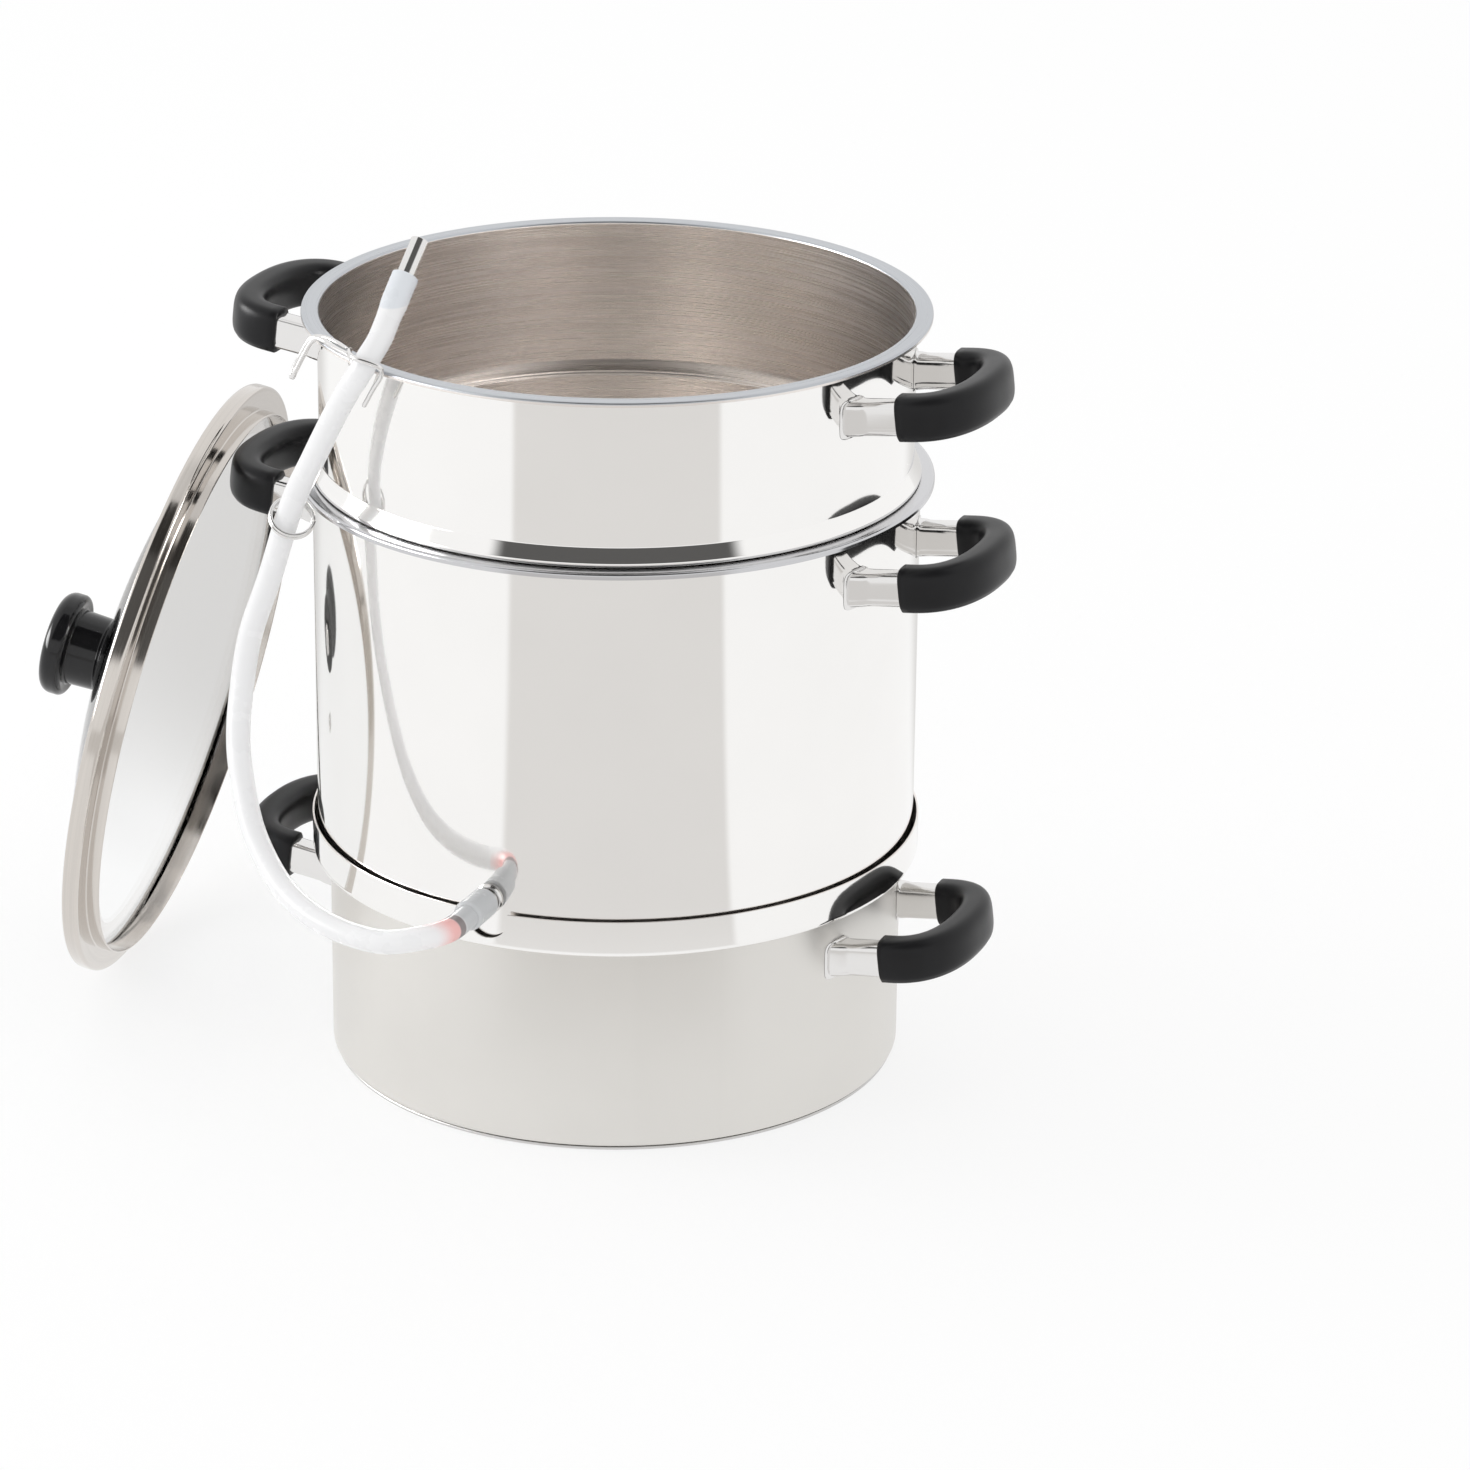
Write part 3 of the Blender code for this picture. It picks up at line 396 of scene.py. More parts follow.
class Finish:
    """A material, or the studio's light, and the nodes that it is made of."""

    def __init__(self, owner, colour=None, roughness=0.5, metallic=0.0, **more):
        if isinstance(owner, str):
            owner = bpy.data.materials.new(owner)
        owner.use_nodes = True
        self.owner = owner
        self.tree = owner.node_tree
        self.shader = self.tree.nodes.get("Principled BSDF") or self.tree.nodes.get("Background")
        self.height = None
        if colour is not None:
            self.set("Base Color", colour)
            self.set("Roughness", roughness)
            self.set("Metallic", metallic)
            owner.diffuse_color = (*colour, 1.0)
        for socket, value in more.items():
            self.set(socket.replace("_", " "), value)

    def put(self, socket, value):
        if isinstance(value, Reading):
            self.tree.links.new(value.socket, socket)
        elif isinstance(value, tuple) and len(value) == 3 and socket.type == "RGBA":
            socket.default_value = (*value, 1.0)
        else:
            socket.default_value = value

    def set(self, socket, value):
        self.put(self.shader.inputs[socket], value)

    def add(self, kind, settings=None, inputs=None, output=0):
        """Adds a node with its settings, then the values or links of its sockets."""
        node = self.tree.nodes.new(kind)
        for name, value in (settings or {}).items():
            setattr(node, name, value)
        for name, value in (inputs or {}).items():
            self.put(node.inputs[name], value)
        return Reading(self, node.outputs[output])

    def spot(self):
        """Where the surface point is, in the piece's own frame."""
        return self.add("ShaderNodeTexCoord", output="Object")

    def axes(self, vector):
        """The three numbers of a vector."""
        node = self.tree.nodes.new("ShaderNodeSeparateXYZ")
        self.put(node.inputs[0], vector)
        return [Reading(self, output) for output in node.outputs]

    def axes_in(self, matrix):
        """The surface point's three numbers in a leaning piece's frame."""
        kind = "ShaderNodeVectorMath"
        place = self.add(kind, {"operation": "SUBTRACT"}, {0: self.spot(), 1: matrix.translation})
        numbers = []
        for side in matrix.to_3x3().col:
            numbers.append(self.add(kind, {"operation": "DOT_PRODUCT"}, {0: place, 1: side}, "Value"))
        return numbers

    def also(self, reading, output):
        """Another output of the same node."""
        return Reading(self, reading.socket.node.outputs[output])

    def finally_mix(self, share, other):
        """Mixes the shader with another one on its way to the surface."""
        end = next(node for node in self.tree.nodes if node.bl_idname.startswith("ShaderNodeOutput"))
        own = Reading(self, self.shader.outputs[0])
        self.put(end.inputs[0], self.add("ShaderNodeMixShader", None, {0: share, 1: own, 2: other}))

    def vector(self, x, y, z):
        return self.add("ShaderNodeCombineXYZ", None, {"X": x, "Y": y, "Z": z})

    def noise(self, vector, scale, detail=2.0, rough=0.5):
        """Smooth noise round 0.5."""
        return self.add(
            "ShaderNodeTexNoise",
            None,
            {"Vector": vector, "Scale": scale, "Detail": detail, "Roughness": rough},
        )

    def mix(self, share, first, second):
        """A colour between two others."""
        return self.add(
            "ShaderNodeMix",
            {"data_type": "RGBA"},
            {0: share, 6: first, 7: second},
            2,
        )

    def raise_by(self, height, distance, strength=1.0):
        """Lets the surface stand out by this height, without moving it."""
        bump = {"Height": height, "Distance": distance, "Strength": strength}
        if self.height is not None:
            bump["Normal"] = self.height
        self.height = self.add("ShaderNodeBump", None, bump)
        self.set("Normal", self.height)

    def on(self, *pieces):
        for piece in pieces:
            piece.data.materials.clear()
            piece.data.materials.append(self.owner)
        return self


# Shapes
ZONES = 4


def piece_of(name, points, faces, frame_matrix=None, zones=None):
    """A shown piece from its points and faces. Zones are the material numbers of the faces."""
    mesh = bpy.data.meshes.new(name)
    mesh.from_pydata([tuple(point) for point in points], [], faces)
    mesh.polygons.foreach_set("use_smooth", [True] * len(mesh.polygons))
    if zones:
        mesh.polygons.foreach_set("material_index", zones)
    if frame_matrix is not None:
        mesh.transform(frame_matrix)
    obj = bpy.data.objects.new(name, mesh)
    scene.collection.objects.link(obj)
    return obj


def soft(path, steps=5, hold=HOLD):
    """Rounds the corners of a (radius, height, fillet) path and holds the flats beside them flat."""
    points = []
    for index, (r, z, fillet) in enumerate(path):
        if not fillet or index in (0, len(path) - 1):
            points.append(Vector((r, z)))
            continue
        corner = Vector((r, z))
        before = Vector(path[index - 1][:2]) - corner
        after = Vector(path[index + 1][:2]) - corner
        half = before.angle(after) / 2
        reach = min(fillet / math.tan(half), before.length * 0.49, after.length * 0.49)
        radius = reach * math.tan(half)
        centre = corner + (before.normalized() + after.normalized()).normalized() * radius / math.sin(half)
        start = corner + before.normalized() * reach - centre
        end = corner + after.normalized() * reach - centre
        sweep = start.angle_signed(end)
        for step in range(steps + 1):
            points.append(centre + Matrix.Rotation(-sweep * step / steps, 2) @ start)
    held = [points[0]]
    for a, b in zip(points, points[1:]):
        run = (b - a).length
        if run > 4 * hold:
            for share in (hold / run, 1 - hold / run):
                held.append(a.lerp(b, share))
        held.append(b)
    return held


def turned(name, path, steps=WALL_STEPS, closed=False, matrix=None, zone=None):
    """Turns a (radius, height) path round Z. A zone function gives each strip its material number."""
    points = []
    rings = []
    for r, z in path:
        if r < GAP / 3:
            rings.append([len(points)] * steps)
            points.append((0.0, 0.0, z))
            continue
        rings.append(list(range(len(points), len(points) + steps)))
        for k in range(steps):
            angle = 2 * math.pi * k / steps
            points.append((r * math.cos(angle), r * math.sin(angle), z))
    faces = []
    zones = []
    strips = list(zip(range(len(rings)), range(1, len(rings))))
    if closed:
        strips.append((len(rings) - 1, 0))
    for a, b in strips:
        number = zone(path[a], path[b]) if zone else 0
        for k in range(steps):
            n = (k + 1) % steps
            corners = [rings[a][k], rings[b][k], rings[b][n], rings[a][n]]
            faces.append(list(dict.fromkeys(corners)))
            zones.append(number)
    return piece_of(name, points, faces, matrix, zones)


def creased(obj, degrees=CREASE):
    """Shades the edges sharp that turn by more than this angle."""
    obj.data.set_sharp_from_angle(angle=math.radians(degrees))
    return obj


def outward(obj):
    """Turns all faces of a closed piece outward and leaves its sharp edges sharp."""
    work = bmesh.new()
    work.from_mesh(obj.data)
    bmesh.ops.recalc_face_normals(work, faces=work.faces)
    work.to_mesh(obj.data)
    work.free()
    return creased(obj)


def sheet(obj):
    """Gives a turned face the thickness of its metal, outside it, and makes that part of the mesh."""
    for _ in range(ZONES):
        obj.data.materials.append(None)
    wall = obj.modifiers.new("sheet", "SOLIDIFY")
    wall.thickness = SHEET
    wall.offset = 1.0
    wall.use_even_offset = True
    wall.material_offset = 1
    wall.material_offset_rim = 1
    return settle(obj)


def settle(obj):
    """Makes the piece's modifiers part of its mesh."""
    graph = bpy.context.evaluated_depsgraph_get()
    graph.update()
    mesh = bpy.data.meshes.new_from_object(obj.evaluated_get(graph))
    obj.modifiers.clear()
    obj.data = mesh
    return obj


def cutter_from(work, name, matrix=None):
    """Makes a cutter of a bmesh, which is freed."""
    mesh = bpy.data.meshes.new(name)
    work.to_mesh(mesh)
    work.free()
    if matrix is not None:
        mesh.transform(matrix)
    cutter = bpy.data.objects.new(name, mesh)
    scene.collection.objects.link(cutter)
    return cutter


def cut(obj, cutter):
    """Takes the cutter's shape out of the piece. The cutter is removed."""
    take = obj.modifiers.new("cut", "BOOLEAN")
    take.operation = "DIFFERENCE"
    take.solver = "EXACT"
    take.object = cutter
    settle(obj)
    bpy.data.objects.remove(cutter, do_unlink=True)
    return obj


def smooth_path(points, count):
    """Evenly spaced points on a Catmull-Rom curve through the given ones."""
    knots = [Vector(p) for p in points]
    knots = [2 * knots[0] - knots[1]] + knots + [2 * knots[-1] - knots[-2]]
    fine = []
    for i in range(1, len(knots) - 2):
        a, b, c, d = knots[i - 1 : i + 3]
        for step in range(CURVE_STEPS):
            t = step / CURVE_STEPS
            bend = (2 * a - 5 * b + 4 * c - d) * t**2
            twist = (3 * b - a - 3 * c + d) * t**3
            fine.append((2 * b + (c - a) * t + bend + twist) / 2)
    fine.append(knots[-2])
    run = [0.0]
    for p, q in zip(fine, fine[1:]):
        run.append(run[-1] + (q - p).length)
    even = []
    at = 0
    for step in range(count):
        want = run[-1] * step / (count - 1)
        while at < len(run) - 2 and run[at + 1] < want:
            at += 1
        share = (want - run[at]) / (run[at + 1] - run[at])
        even.append(fine[at].lerp(fine[at + 1], min(share, 1.0)))
    return even


def lofted(name, rings, caps=True, matrix=None, closed=False):
    """Joins rings of equal point counts into one skin."""
    count = len(rings[0])
    points = [point for ring in rings for point in ring]
    faces = []
    pairs = list(zip(range(len(rings)), range(1, len(rings))))
    if closed:
        pairs.append((len(rings) - 1, 0))
    for a, b in pairs:
        for k in range(count):
            n = (k + 1) % count
            faces.append([a * count + k, a * count + n, b * count + n, b * count + k])
    if caps and not closed:
        faces.append(list(range(count))[::-1])
        faces.append([(len(rings) - 1) * count + k for k in range(count)])
    return outward(piece_of(name, points, faces, matrix))


def crosses(line):
    """For each point of a line, two directions across it that turn as little as they can."""
    ways = [(b - a).normalized() for a, b in zip(line, line[1:])]
    ways.append(ways[-1])
    side = ways[0].orthogonal().normalized()
    frames = []
    for index, way in enumerate(ways):
        if 0 < index < len(ways) - 1:
            way = (ways[index - 1] + way).normalized()
        side = (side - way * side.dot(way)).normalized()
        frames.append((side, way.cross(side)))
    return frames


def ring_at(centre, frame_pair, radius, sides):
    side, up = frame_pair
    turns = [2 * math.pi * k / sides for k in range(sides)]
    return [centre + radius * (math.cos(t) * side + math.sin(t) * up) for t in turns]


def wire(name, line, radius, sides=20):
    """A round wire along a line, with its two ends rounded off."""
    frames = crosses(line)
    first = (line[0] - line[1]).normalized()
    last = (line[-1] - line[-2]).normalized()
    rings = []
    for share in TIP_SHARES:
        out = radius * math.sqrt(1 - share**2)
        rings.append(ring_at(line[0] + first * out, frames[0], radius * share, sides))
    rings += [ring_at(c, f, radius, sides) for c, f in zip(line, frames)]
    for share in reversed(TIP_SHARES):
        out = radius * math.sqrt(1 - share**2)
        rings.append(ring_at(line[-1] + last * out, frames[-1], radius * share, sides))
    return lofted(name, rings)


def pipe(name, line, radius, bore, sides=32, flare=None):
    """A hollow tube along a line. Flare gives how wide it is at each share of its length."""
    frames = crosses(line)
    wide = [flare(k / (len(line) - 1)) if flare else 1.0 for k in range(len(line))]
    stations = list(zip(line, frames, wide))
    rings = [ring_at(c, f, radius * w, sides) for c, f, w in stations]
    rings += [ring_at(c, f, bore + radius * (w - 1.0), sides) for c, f, w in reversed(stations)]
    return lofted(name, rings, closed=True)


def eyelet(name, path, steps=SMALL_STEPS, matrix=None, hold=HOLD):
    """Turns a closed (radius, height, fillet) path into a ring."""
    return outward(turned(name, soft(path, hold=hold), steps, True, matrix))


def show(obj, body, slot, *nodes):
    """Sets a piece on its body in place of its CAD nodes."""
    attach(obj, body)
    if nodes:
        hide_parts(*nodes)
    return obj


# Hose, with its cuffs, outlet tube, clamp and clip
hose_line = smooth_path(HOSE_ROUTE, HOSE_POINTS)
hose_length = sum((b - a).length for a, b in zip(hose_line, hose_line[1:]))


def hose_flare(share):
    """The hose is stretched a little where the outlet tube sits in it."""
    return 1.0 + STRETCH_SHARE * max(0.0, min(1.0, (share - STRETCH_START_SHARE) / STRETCH_RUN_SHARE))


hose = pipe("hose_tube", hose_line, HOSE_RADIUS, HOSE_BORE, HOSE_SIDES, hose_flare)
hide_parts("hose")

cuff_matrix = Matrix.Translation((0.0, 0.0, SPOUT_HEIGHT)) @ Matrix.Rotation(math.pi / 2, 4, "X")
cuff_path = [
    (CUFF_FACE_RADIUS, CUFF_START, 0.0),
    (CUFF_FRONT_RADIUS, CUFF_START, CUFF_FRONT_ROUND),
    (CUFF_RADIUS, CUFF_TAPER_START, CUFF_TAPER_ROUND),
    (CUFF_FACE_RADIUS, CUFF_END, 0.0),
    (CUFF_BORE, CUFF_END, 0.0),
    (CUFF_BORE, CUFF_START, 0.0),
]
hose_cuff = show(eyelet("hose_cuff", cuff_path, matrix=cuff_matrix), "juice_pan", "hose_silicone")

outlet_way = (hose_line[-1] - hose_line[-2]).normalized()
outlet_turn = outlet_way.to_track_quat("Z", "Y").to_matrix().to_4x4()
outlet_matrix = Matrix.Translation(hose_line[-1] + outlet_way * GAP) @ outlet_turn
outlet_path = [
    (OUTLET_BORE, 0.0, 0.0),
    (OUTLET_BORE, OUTLET_LENGTH, OUTLET_BORE_ROUND),
    (OUTLET_RADIUS, OUTLET_LENGTH, OUTLET_EDGE_ROUND),
    (OUTLET_RADIUS, 0.0, 0.0),
]
outlet_pipe = eyelet("steel_outlet", outlet_path, matrix=outlet_matrix, hold=FINE_HOLD)
outlet = show(outlet_pipe, "basket", "tube_steel", "outlet_tube")

# The clamp: two turns of wire that lean toward the front of the hose
clamp_at = round(CLAMP_SHARE * (len(hose_line) - 1))
along = (hose_line[clamp_at + 1] - hose_line[clamp_at - 1]).normalized()
facing = Vector((math.sin(CAMERA_FACING), -math.cos(CAMERA_FACING), 0.0))
facing = (facing - along * facing.dot(along)).normalized()
clamp_axis = math.cos(CLAMP_TILT) * along + math.sin(CLAMP_TILT) * facing
across = along.cross(facing)
upward = clamp_axis.cross(across)
coil = []
for k in range(CLAMP_STEPS + 1):
    angle = 4 * math.pi * k / CLAMP_STEPS
    spot = hose_line[clamp_at] + across * CLAMP_OFFSET
    spot += CLAMP_RADIUS * (math.cos(angle) * across + math.sin(angle) * upward)
    coil.append(spot + clamp_axis * CLAMP_PITCH * 2 * (k / CLAMP_STEPS - 0.5))
clamp = show(wire("wire_clamp", coil, CLAMP_WIRE), "juice_pan", "wire_steel", "hose_clamp")

# The clip's corners: degrees round the rim, shares of the lip's width outward and of the leg's length up
CLIP_SHAPE_SHARES = [
    (-115.6, 0.304, -0.942),
    (-113.2, 0.304, -0.500),
    (-111.0, 0.333, -0.120),
    (-110.4, 0.780, 0.137),
    (-114.0, 1.550, 0.295),
    (-118.4, 0.700, 0.240),
    (-121.5, -0.160, 0.130),
    (-125.0, -0.500, 0.010),
    (-129.0, -0.560, 0.000),
    (-132.6, -0.304, 0.000),
    (-134.8, 0.304, -0.063),
    (-136.2, 0.855, -0.468),
    (-137.2, 1.320, -0.889),
    (-136.6, 1.440, -1.010),
    (-136.0, 1.320, -0.889),
    (-135.0, 0.855, -0.468),
    (-133.5, 0.333, -0.040),
    (-131.0, 0.020, 0.000),
    (-126.0, 0.000, 0.000),
    (-121.0, 0.080, 0.000),
    (-118.6, 0.330, -0.120),
    (-120.6, 0.304, -0.500),
    (-123.3, 0.304, -1.047),
]
clip_corners = []
for angle, out_share, up_share in CLIP_SHAPE_SHARES:
    reach = BASKET_LIP_RADIUS + out_share * (BASKET_LIP_RADIUS - BASKET_RADIUS)
    angle = math.radians(angle)
    height = BASKET_RIM + GAP + CLIP_WIRE + up_share * CLIP_LEG
    clip_corners.append((reach * math.cos(angle), reach * math.sin(angle), height))
clip_wire = wire("wire_clip", smooth_path(clip_corners, CLIP_POINTS), CLIP_WIRE)
clip = show(clip_wire, "basket", "wire_steel", "rim_clip")

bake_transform(hose)


# Vessels: a strip's zone is that of the sheet's outside, and the next number is its inside's
WALL = 0
LIP = 2


def wall_or_lip(a, b):
    """The zones of the juice pan and the basket: the wall and the rolled lip."""
    return LIP if min(a[1], b[1]) > lip_low and max(a[0], b[0]) > lip_bore + GAP / 2 else WALL


def wall_or_collar(a, b):
    """The water pot's zones: its collar is polished, the wall below is satin."""
    return LIP if max(a[1], b[1]) > ledge_top + GAP else WALL


# Water pot
collar_bore = COLLAR_RADIUS - SHEET
pot_bore = POT_RADIUS - SHEET
ledge_top = POT_SHOULDER + SHEET
pot_floor = BASE_PLATE_THICKNESS + GAP + SHEET
pot_path = [
    (collar_bore, POT_RIM, 0.0),
    (collar_bore, ledge_top, COLLAR_CORNER),
    (pot_bore, ledge_top, SHOULDER_ROUND),
    (pot_bore, pot_floor, POT_CORNER),
    (0.0, pot_floor, 0.0),
]
pot = sheet(turned("pot_shell", soft(pot_path), zone=wall_or_collar))
notch = bmesh.new()
notch_centre = POT_RIM - NOTCH_DEPTH + NOTCH_RADIUS
outline = []
for k in range(NOTCH_STEPS + 1):
    angle = math.pi * (1 + k / NOTCH_STEPS)
    outline.append((NOTCH_RADIUS * math.cos(angle), notch_centre + NOTCH_RADIUS * math.sin(angle)))
outline += [(NOTCH_RADIUS, POT_RIM + NOTCH_DEPTH), (-NOTCH_RADIUS, POT_RIM + NOTCH_DEPTH)]
back = notch.faces.new([notch.verts.new((x, -collar_bore + NOTCH_INSIDE, z)) for x, z in outline])
pulled = bmesh.ops.extrude_face_region(notch, geom=[back])["geom"]
front_corners = [piece for piece in pulled if isinstance(piece, bmesh.types.BMVert)]
bmesh.ops.translate(notch, vec=(0.0, -NOTCH_REACH, 0.0), verts=front_corners)
bmesh.ops.recalc_face_normals(notch, faces=notch.faces)
cut(pot, cutter_from(notch, "notch"))
show(creased(pot), "water_pot", "pot_steel", "water_pot_body")

plate_path = [
    (0.0, BASE_PLATE_THICKNESS, 0.0),
    (BASE_PLATE_RADIUS, BASE_PLATE_THICKNESS, BASE_PLATE_EDGE),
    (BASE_PLATE_RADIUS, 0.0, BASE_PLATE_EDGE),
    (BASE_RECESS_EDGE, 0.0, 0.0),
    (BASE_RECESS_RADIUS, BASE_RECESS_DEPTH, 0.0),
    (0.0, BASE_RECESS_DEPTH, 0.0),
]
plate = outward(turned("base_plate", soft(plate_path)))
show(plate, "water_pot", "base_steel", "water_pot_base_plate")

# Juice pan, steam cone and spout
pan_bore = PAN_RADIUS - SHEET
pan_floor = PAN_UNDERSIDE + SHEET
lip_low, lip_bore = PAN_RIM - PAN_LIP_DEPTH, pan_bore
pan_path = [
    (PAN_LIP_RADIUS, PAN_RIM - PAN_LIP_DROP, 0.0),
    (PAN_LIP_RADIUS, PAN_RIM, PAN_LIP_ROUND),
    (pan_bore, PAN_RIM, LIP_ROUND),
    (pan_bore, pan_floor, PAN_CORNER),
    (CONE_BASE_RADIUS, pan_floor, 0.0),
]
pan = sheet(turned("pan_shell", soft(pan_path), zone=wall_or_lip))
show(creased(pan), "juice_pan", "pan_steel", "juice_pan_body")

cone_foot = pan_floor + GAP
cone_path = [
    (CONE_TOP_RADIUS + CONE_LIP_FLARE, cone_foot + CONE_HEIGHT, 0.0),
    (CONE_TOP_RADIUS, cone_foot + CONE_HEIGHT - CONE_LIP_HEIGHT, CONE_LIP_ROUND),
    (CONE_BASE_RADIUS - CONE_FOOT_INSET, cone_foot, CONE_FOOT_ROUND),
    (CONE_BASE_RADIUS + CONE_FLANGE, cone_foot, 0.0),
]
cone = sheet(turned("cone_shell", soft(cone_path), CONE_STEPS))
show(creased(cone), "juice_pan", "cone_steel", "steam_cone")

flange_face = PAN_RADIUS + GAP
neck_root = flange_face + FLANGE_THICKNESS + GAP
tube_path = [
    (SPOUT_BORE, pan_bore - SPOUT_INSIDE, 0.0),
    (SPOUT_BORE, SPOUT_BORE_END, 0.0),
    (NIPPLE_TIP_RADIUS, SPOUT_END, 0.0),
    (NIPPLE_RADIUS, NIPPLE_START, 0.0),
    (SPOUT_NECK_RADIUS, SPOUT_NECK_END, SPOUT_NECK_ROUND),
    (SPOUT_NECK_RADIUS, neck_root, 0.0),
    (SPOUT_RADIUS, neck_root, 0.0),
    (SPOUT_RADIUS, pan_bore - SPOUT_INSIDE, 0.0),
]
spout = eyelet("spout_pipe", tube_path, matrix=cuff_matrix, hold=FINE_HOLD)
show(spout, "juice_pan", "spout_steel", "spout_tube")
ring_path = [
    (SPOUT_RADIUS + GAP, flange_face, 0.0),
    (SPOUT_RADIUS + GAP, flange_face + FLANGE_THICKNESS, 0.0),
    (FLANGE_RADIUS - FLANGE_BEVEL, flange_face + FLANGE_THICKNESS, FLANGE_ROUND),
    (FLANGE_RADIUS, flange_face, FLANGE_EDGE),
    (FLANGE_RADIUS - GAP, flange_face - FLANGE_SINK, 0.0),
]
collar = eyelet("spout_ring", ring_path, matrix=cuff_matrix, hold=FINE_HOLD)
show(collar, "juice_pan", "spout_steel", "spout_flange")

# Fruit basket: the wall turned, the floor cut from sheet with its steam holes
basket_bore = BASKET_RADIUS - SHEET
basket_floor = BASKET_UNDERSIDE + SHEET
lip_low, lip_bore = BASKET_RIM - BASKET_LIP_DEPTH, basket_bore
floor_edge = basket_bore - BASKET_CORNER
basket_path = [
    (BASKET_LIP_RADIUS, BASKET_RIM - BASKET_LIP_DROP, 0.0),
    (BASKET_LIP_RADIUS, BASKET_RIM, LIP_ROUND),
    (basket_bore, BASKET_RIM, LIP_ROUND),
    (basket_bore, BEAD_TOP + BEAD_SLOPE, BEAD_SLOPE_ROUND),
    (BEAD_RADIUS - SHEET, BEAD_TOP, BEAD_FACE_ROUND),
    (BEAD_RADIUS - SHEET, BEAD_BOTTOM, BEAD_SEAT_ROUND),
    (basket_bore, BEAD_BOTTOM, BEAD_SEAT_ROUND),
    (basket_bore, basket_floor, BASKET_CORNER),
    (floor_edge - GAP, basket_floor, 0.0),
]
basket = sheet(turned("basket_shell", soft(basket_path), zone=wall_or_lip))

floor_curve = bpy.data.curves.new("basket_floor", "CURVE")
floor_curve.dimensions = "2D"
floor_curve.fill_mode = "BOTH"
floor_curve.extrude = SHEET / 2
places = [(0.0, 0.0, floor_edge, WALL_STEPS), (0.0, 0.0, HOLE_RADIUS, HOLE_SIDES)]
for ring in range(1, HOLE_RINGS + 1):
    for k in range(6 * ring):
        angle = 2 * math.pi * (k + ring / 4) / (6 * ring)
        reach = ring * HOLE_PITCH
        places.append((reach * math.cos(angle), reach * math.sin(angle), HOLE_RADIUS, HOLE_SIDES))
for x, y, radius, count in places:
    loop = floor_curve.splines.new("POLY")
    loop.points.add(count - 1)
    for k, point in enumerate(loop.points):
        angle = 2 * math.pi * k / count
        point.co = (x + radius * math.cos(angle), y + radius * math.sin(angle), 0.0, 1.0)
    loop.use_cyclic_u = True
floor_guide = bpy.data.objects.new("basket_floor", floor_curve)
scene.collection.objects.link(floor_guide)
graph = bpy.context.evaluated_depsgraph_get()
graph.update()
floor_mesh = bpy.data.meshes.new_from_object(floor_guide.evaluated_get(graph))
bpy.data.objects.remove(floor_guide, do_unlink=True)
floor_mesh.transform(Matrix.Translation((0.0, 0.0, BASKET_UNDERSIDE + SHEET / 2)))
basket_floor_plate = bpy.data.objects.new("basket_floor", floor_mesh)
scene.collection.objects.link(basket_floor_plate)
show(basket_floor_plate, "basket", "basket_steel")
show(creased(basket), "basket", "basket_steel", "basket_body")

# Side handles
def squared(turn, power):
    """A point of a rounded square."""
    x, y = math.cos(turn), math.sin(turn)
    return math.copysign(abs(x) ** (2 / power), x), math.copysign(abs(y) ** (2 / power), y)


def grip_rings():
    """Cross-sections of the grip along its bow, in the handle's frame."""
    root = LEG_LENGTH + GAP
    reach = GRIP_REACH - GRIP_HALF_THICKNESS - root - GRIP_LEAD
    bow = []
    for k in range(BOW_STEPS + 1):
        x, y = squared(math.pi * (k / BOW_STEPS - 0.5), GRIP_SQUARENESS)
        bow.append((root + GRIP_LEAD + reach * x, LEG_OFFSET * y, 0.0))
    line = [Vector((root, -LEG_OFFSET, 0.0)), Vector((root + GRIP_EDGE, -LEG_OFFSET, 0.0))]
    line += smooth_path(bow, BOW_POINTS)
    line += [Vector((root + GRIP_EDGE, LEG_OFFSET, 0.0)), Vector((root, LEG_OFFSET, 0.0))]
    rings = []
    for k, spot in enumerate(line):
        way = (line[min(k + 1, len(line) - 1)] - line[max(k - 1, 0)]).normalized()
        out = Vector((way.y, -way.x, 0.0))
        trim = GRIP_EDGE if k in (0, len(line) - 1) else 0.0
        ring = []
        for j in range(GRIP_SIDES):
            x, z = squared(2 * math.pi * (j + 0.5) / GRIP_SIDES, GRIP_ROUNDNESS)
            seam = SEAM_DEPTH if j in SEAM_SIDES else 0.0
            wide = (GRIP_HALF_THICKNESS - trim - seam) * x
            tall = (GRIP_HALF_HEIGHT - trim) * z
            ring.append(spot + out * wide + Vector((0.0, 0.0, tall)))
        rings.append(ring)
    return rings


def wall_ahead(spot, wall_radius, frame_matrix):
    """How far along the leg the vessel's round wall is from a spot of the handle's frame."""
    start = frame_matrix @ spot
    way = frame_matrix.to_3x3() @ Vector((1.0, 0.0, 0.0))
    a = way.x**2 + way.y**2
    b = start.x * way.x + start.y * way.y
    c = start.x**2 + start.y**2 - (wall_radius + GAP / 3) ** 2
    return (math.sqrt(b * b - a * c) - b) / a


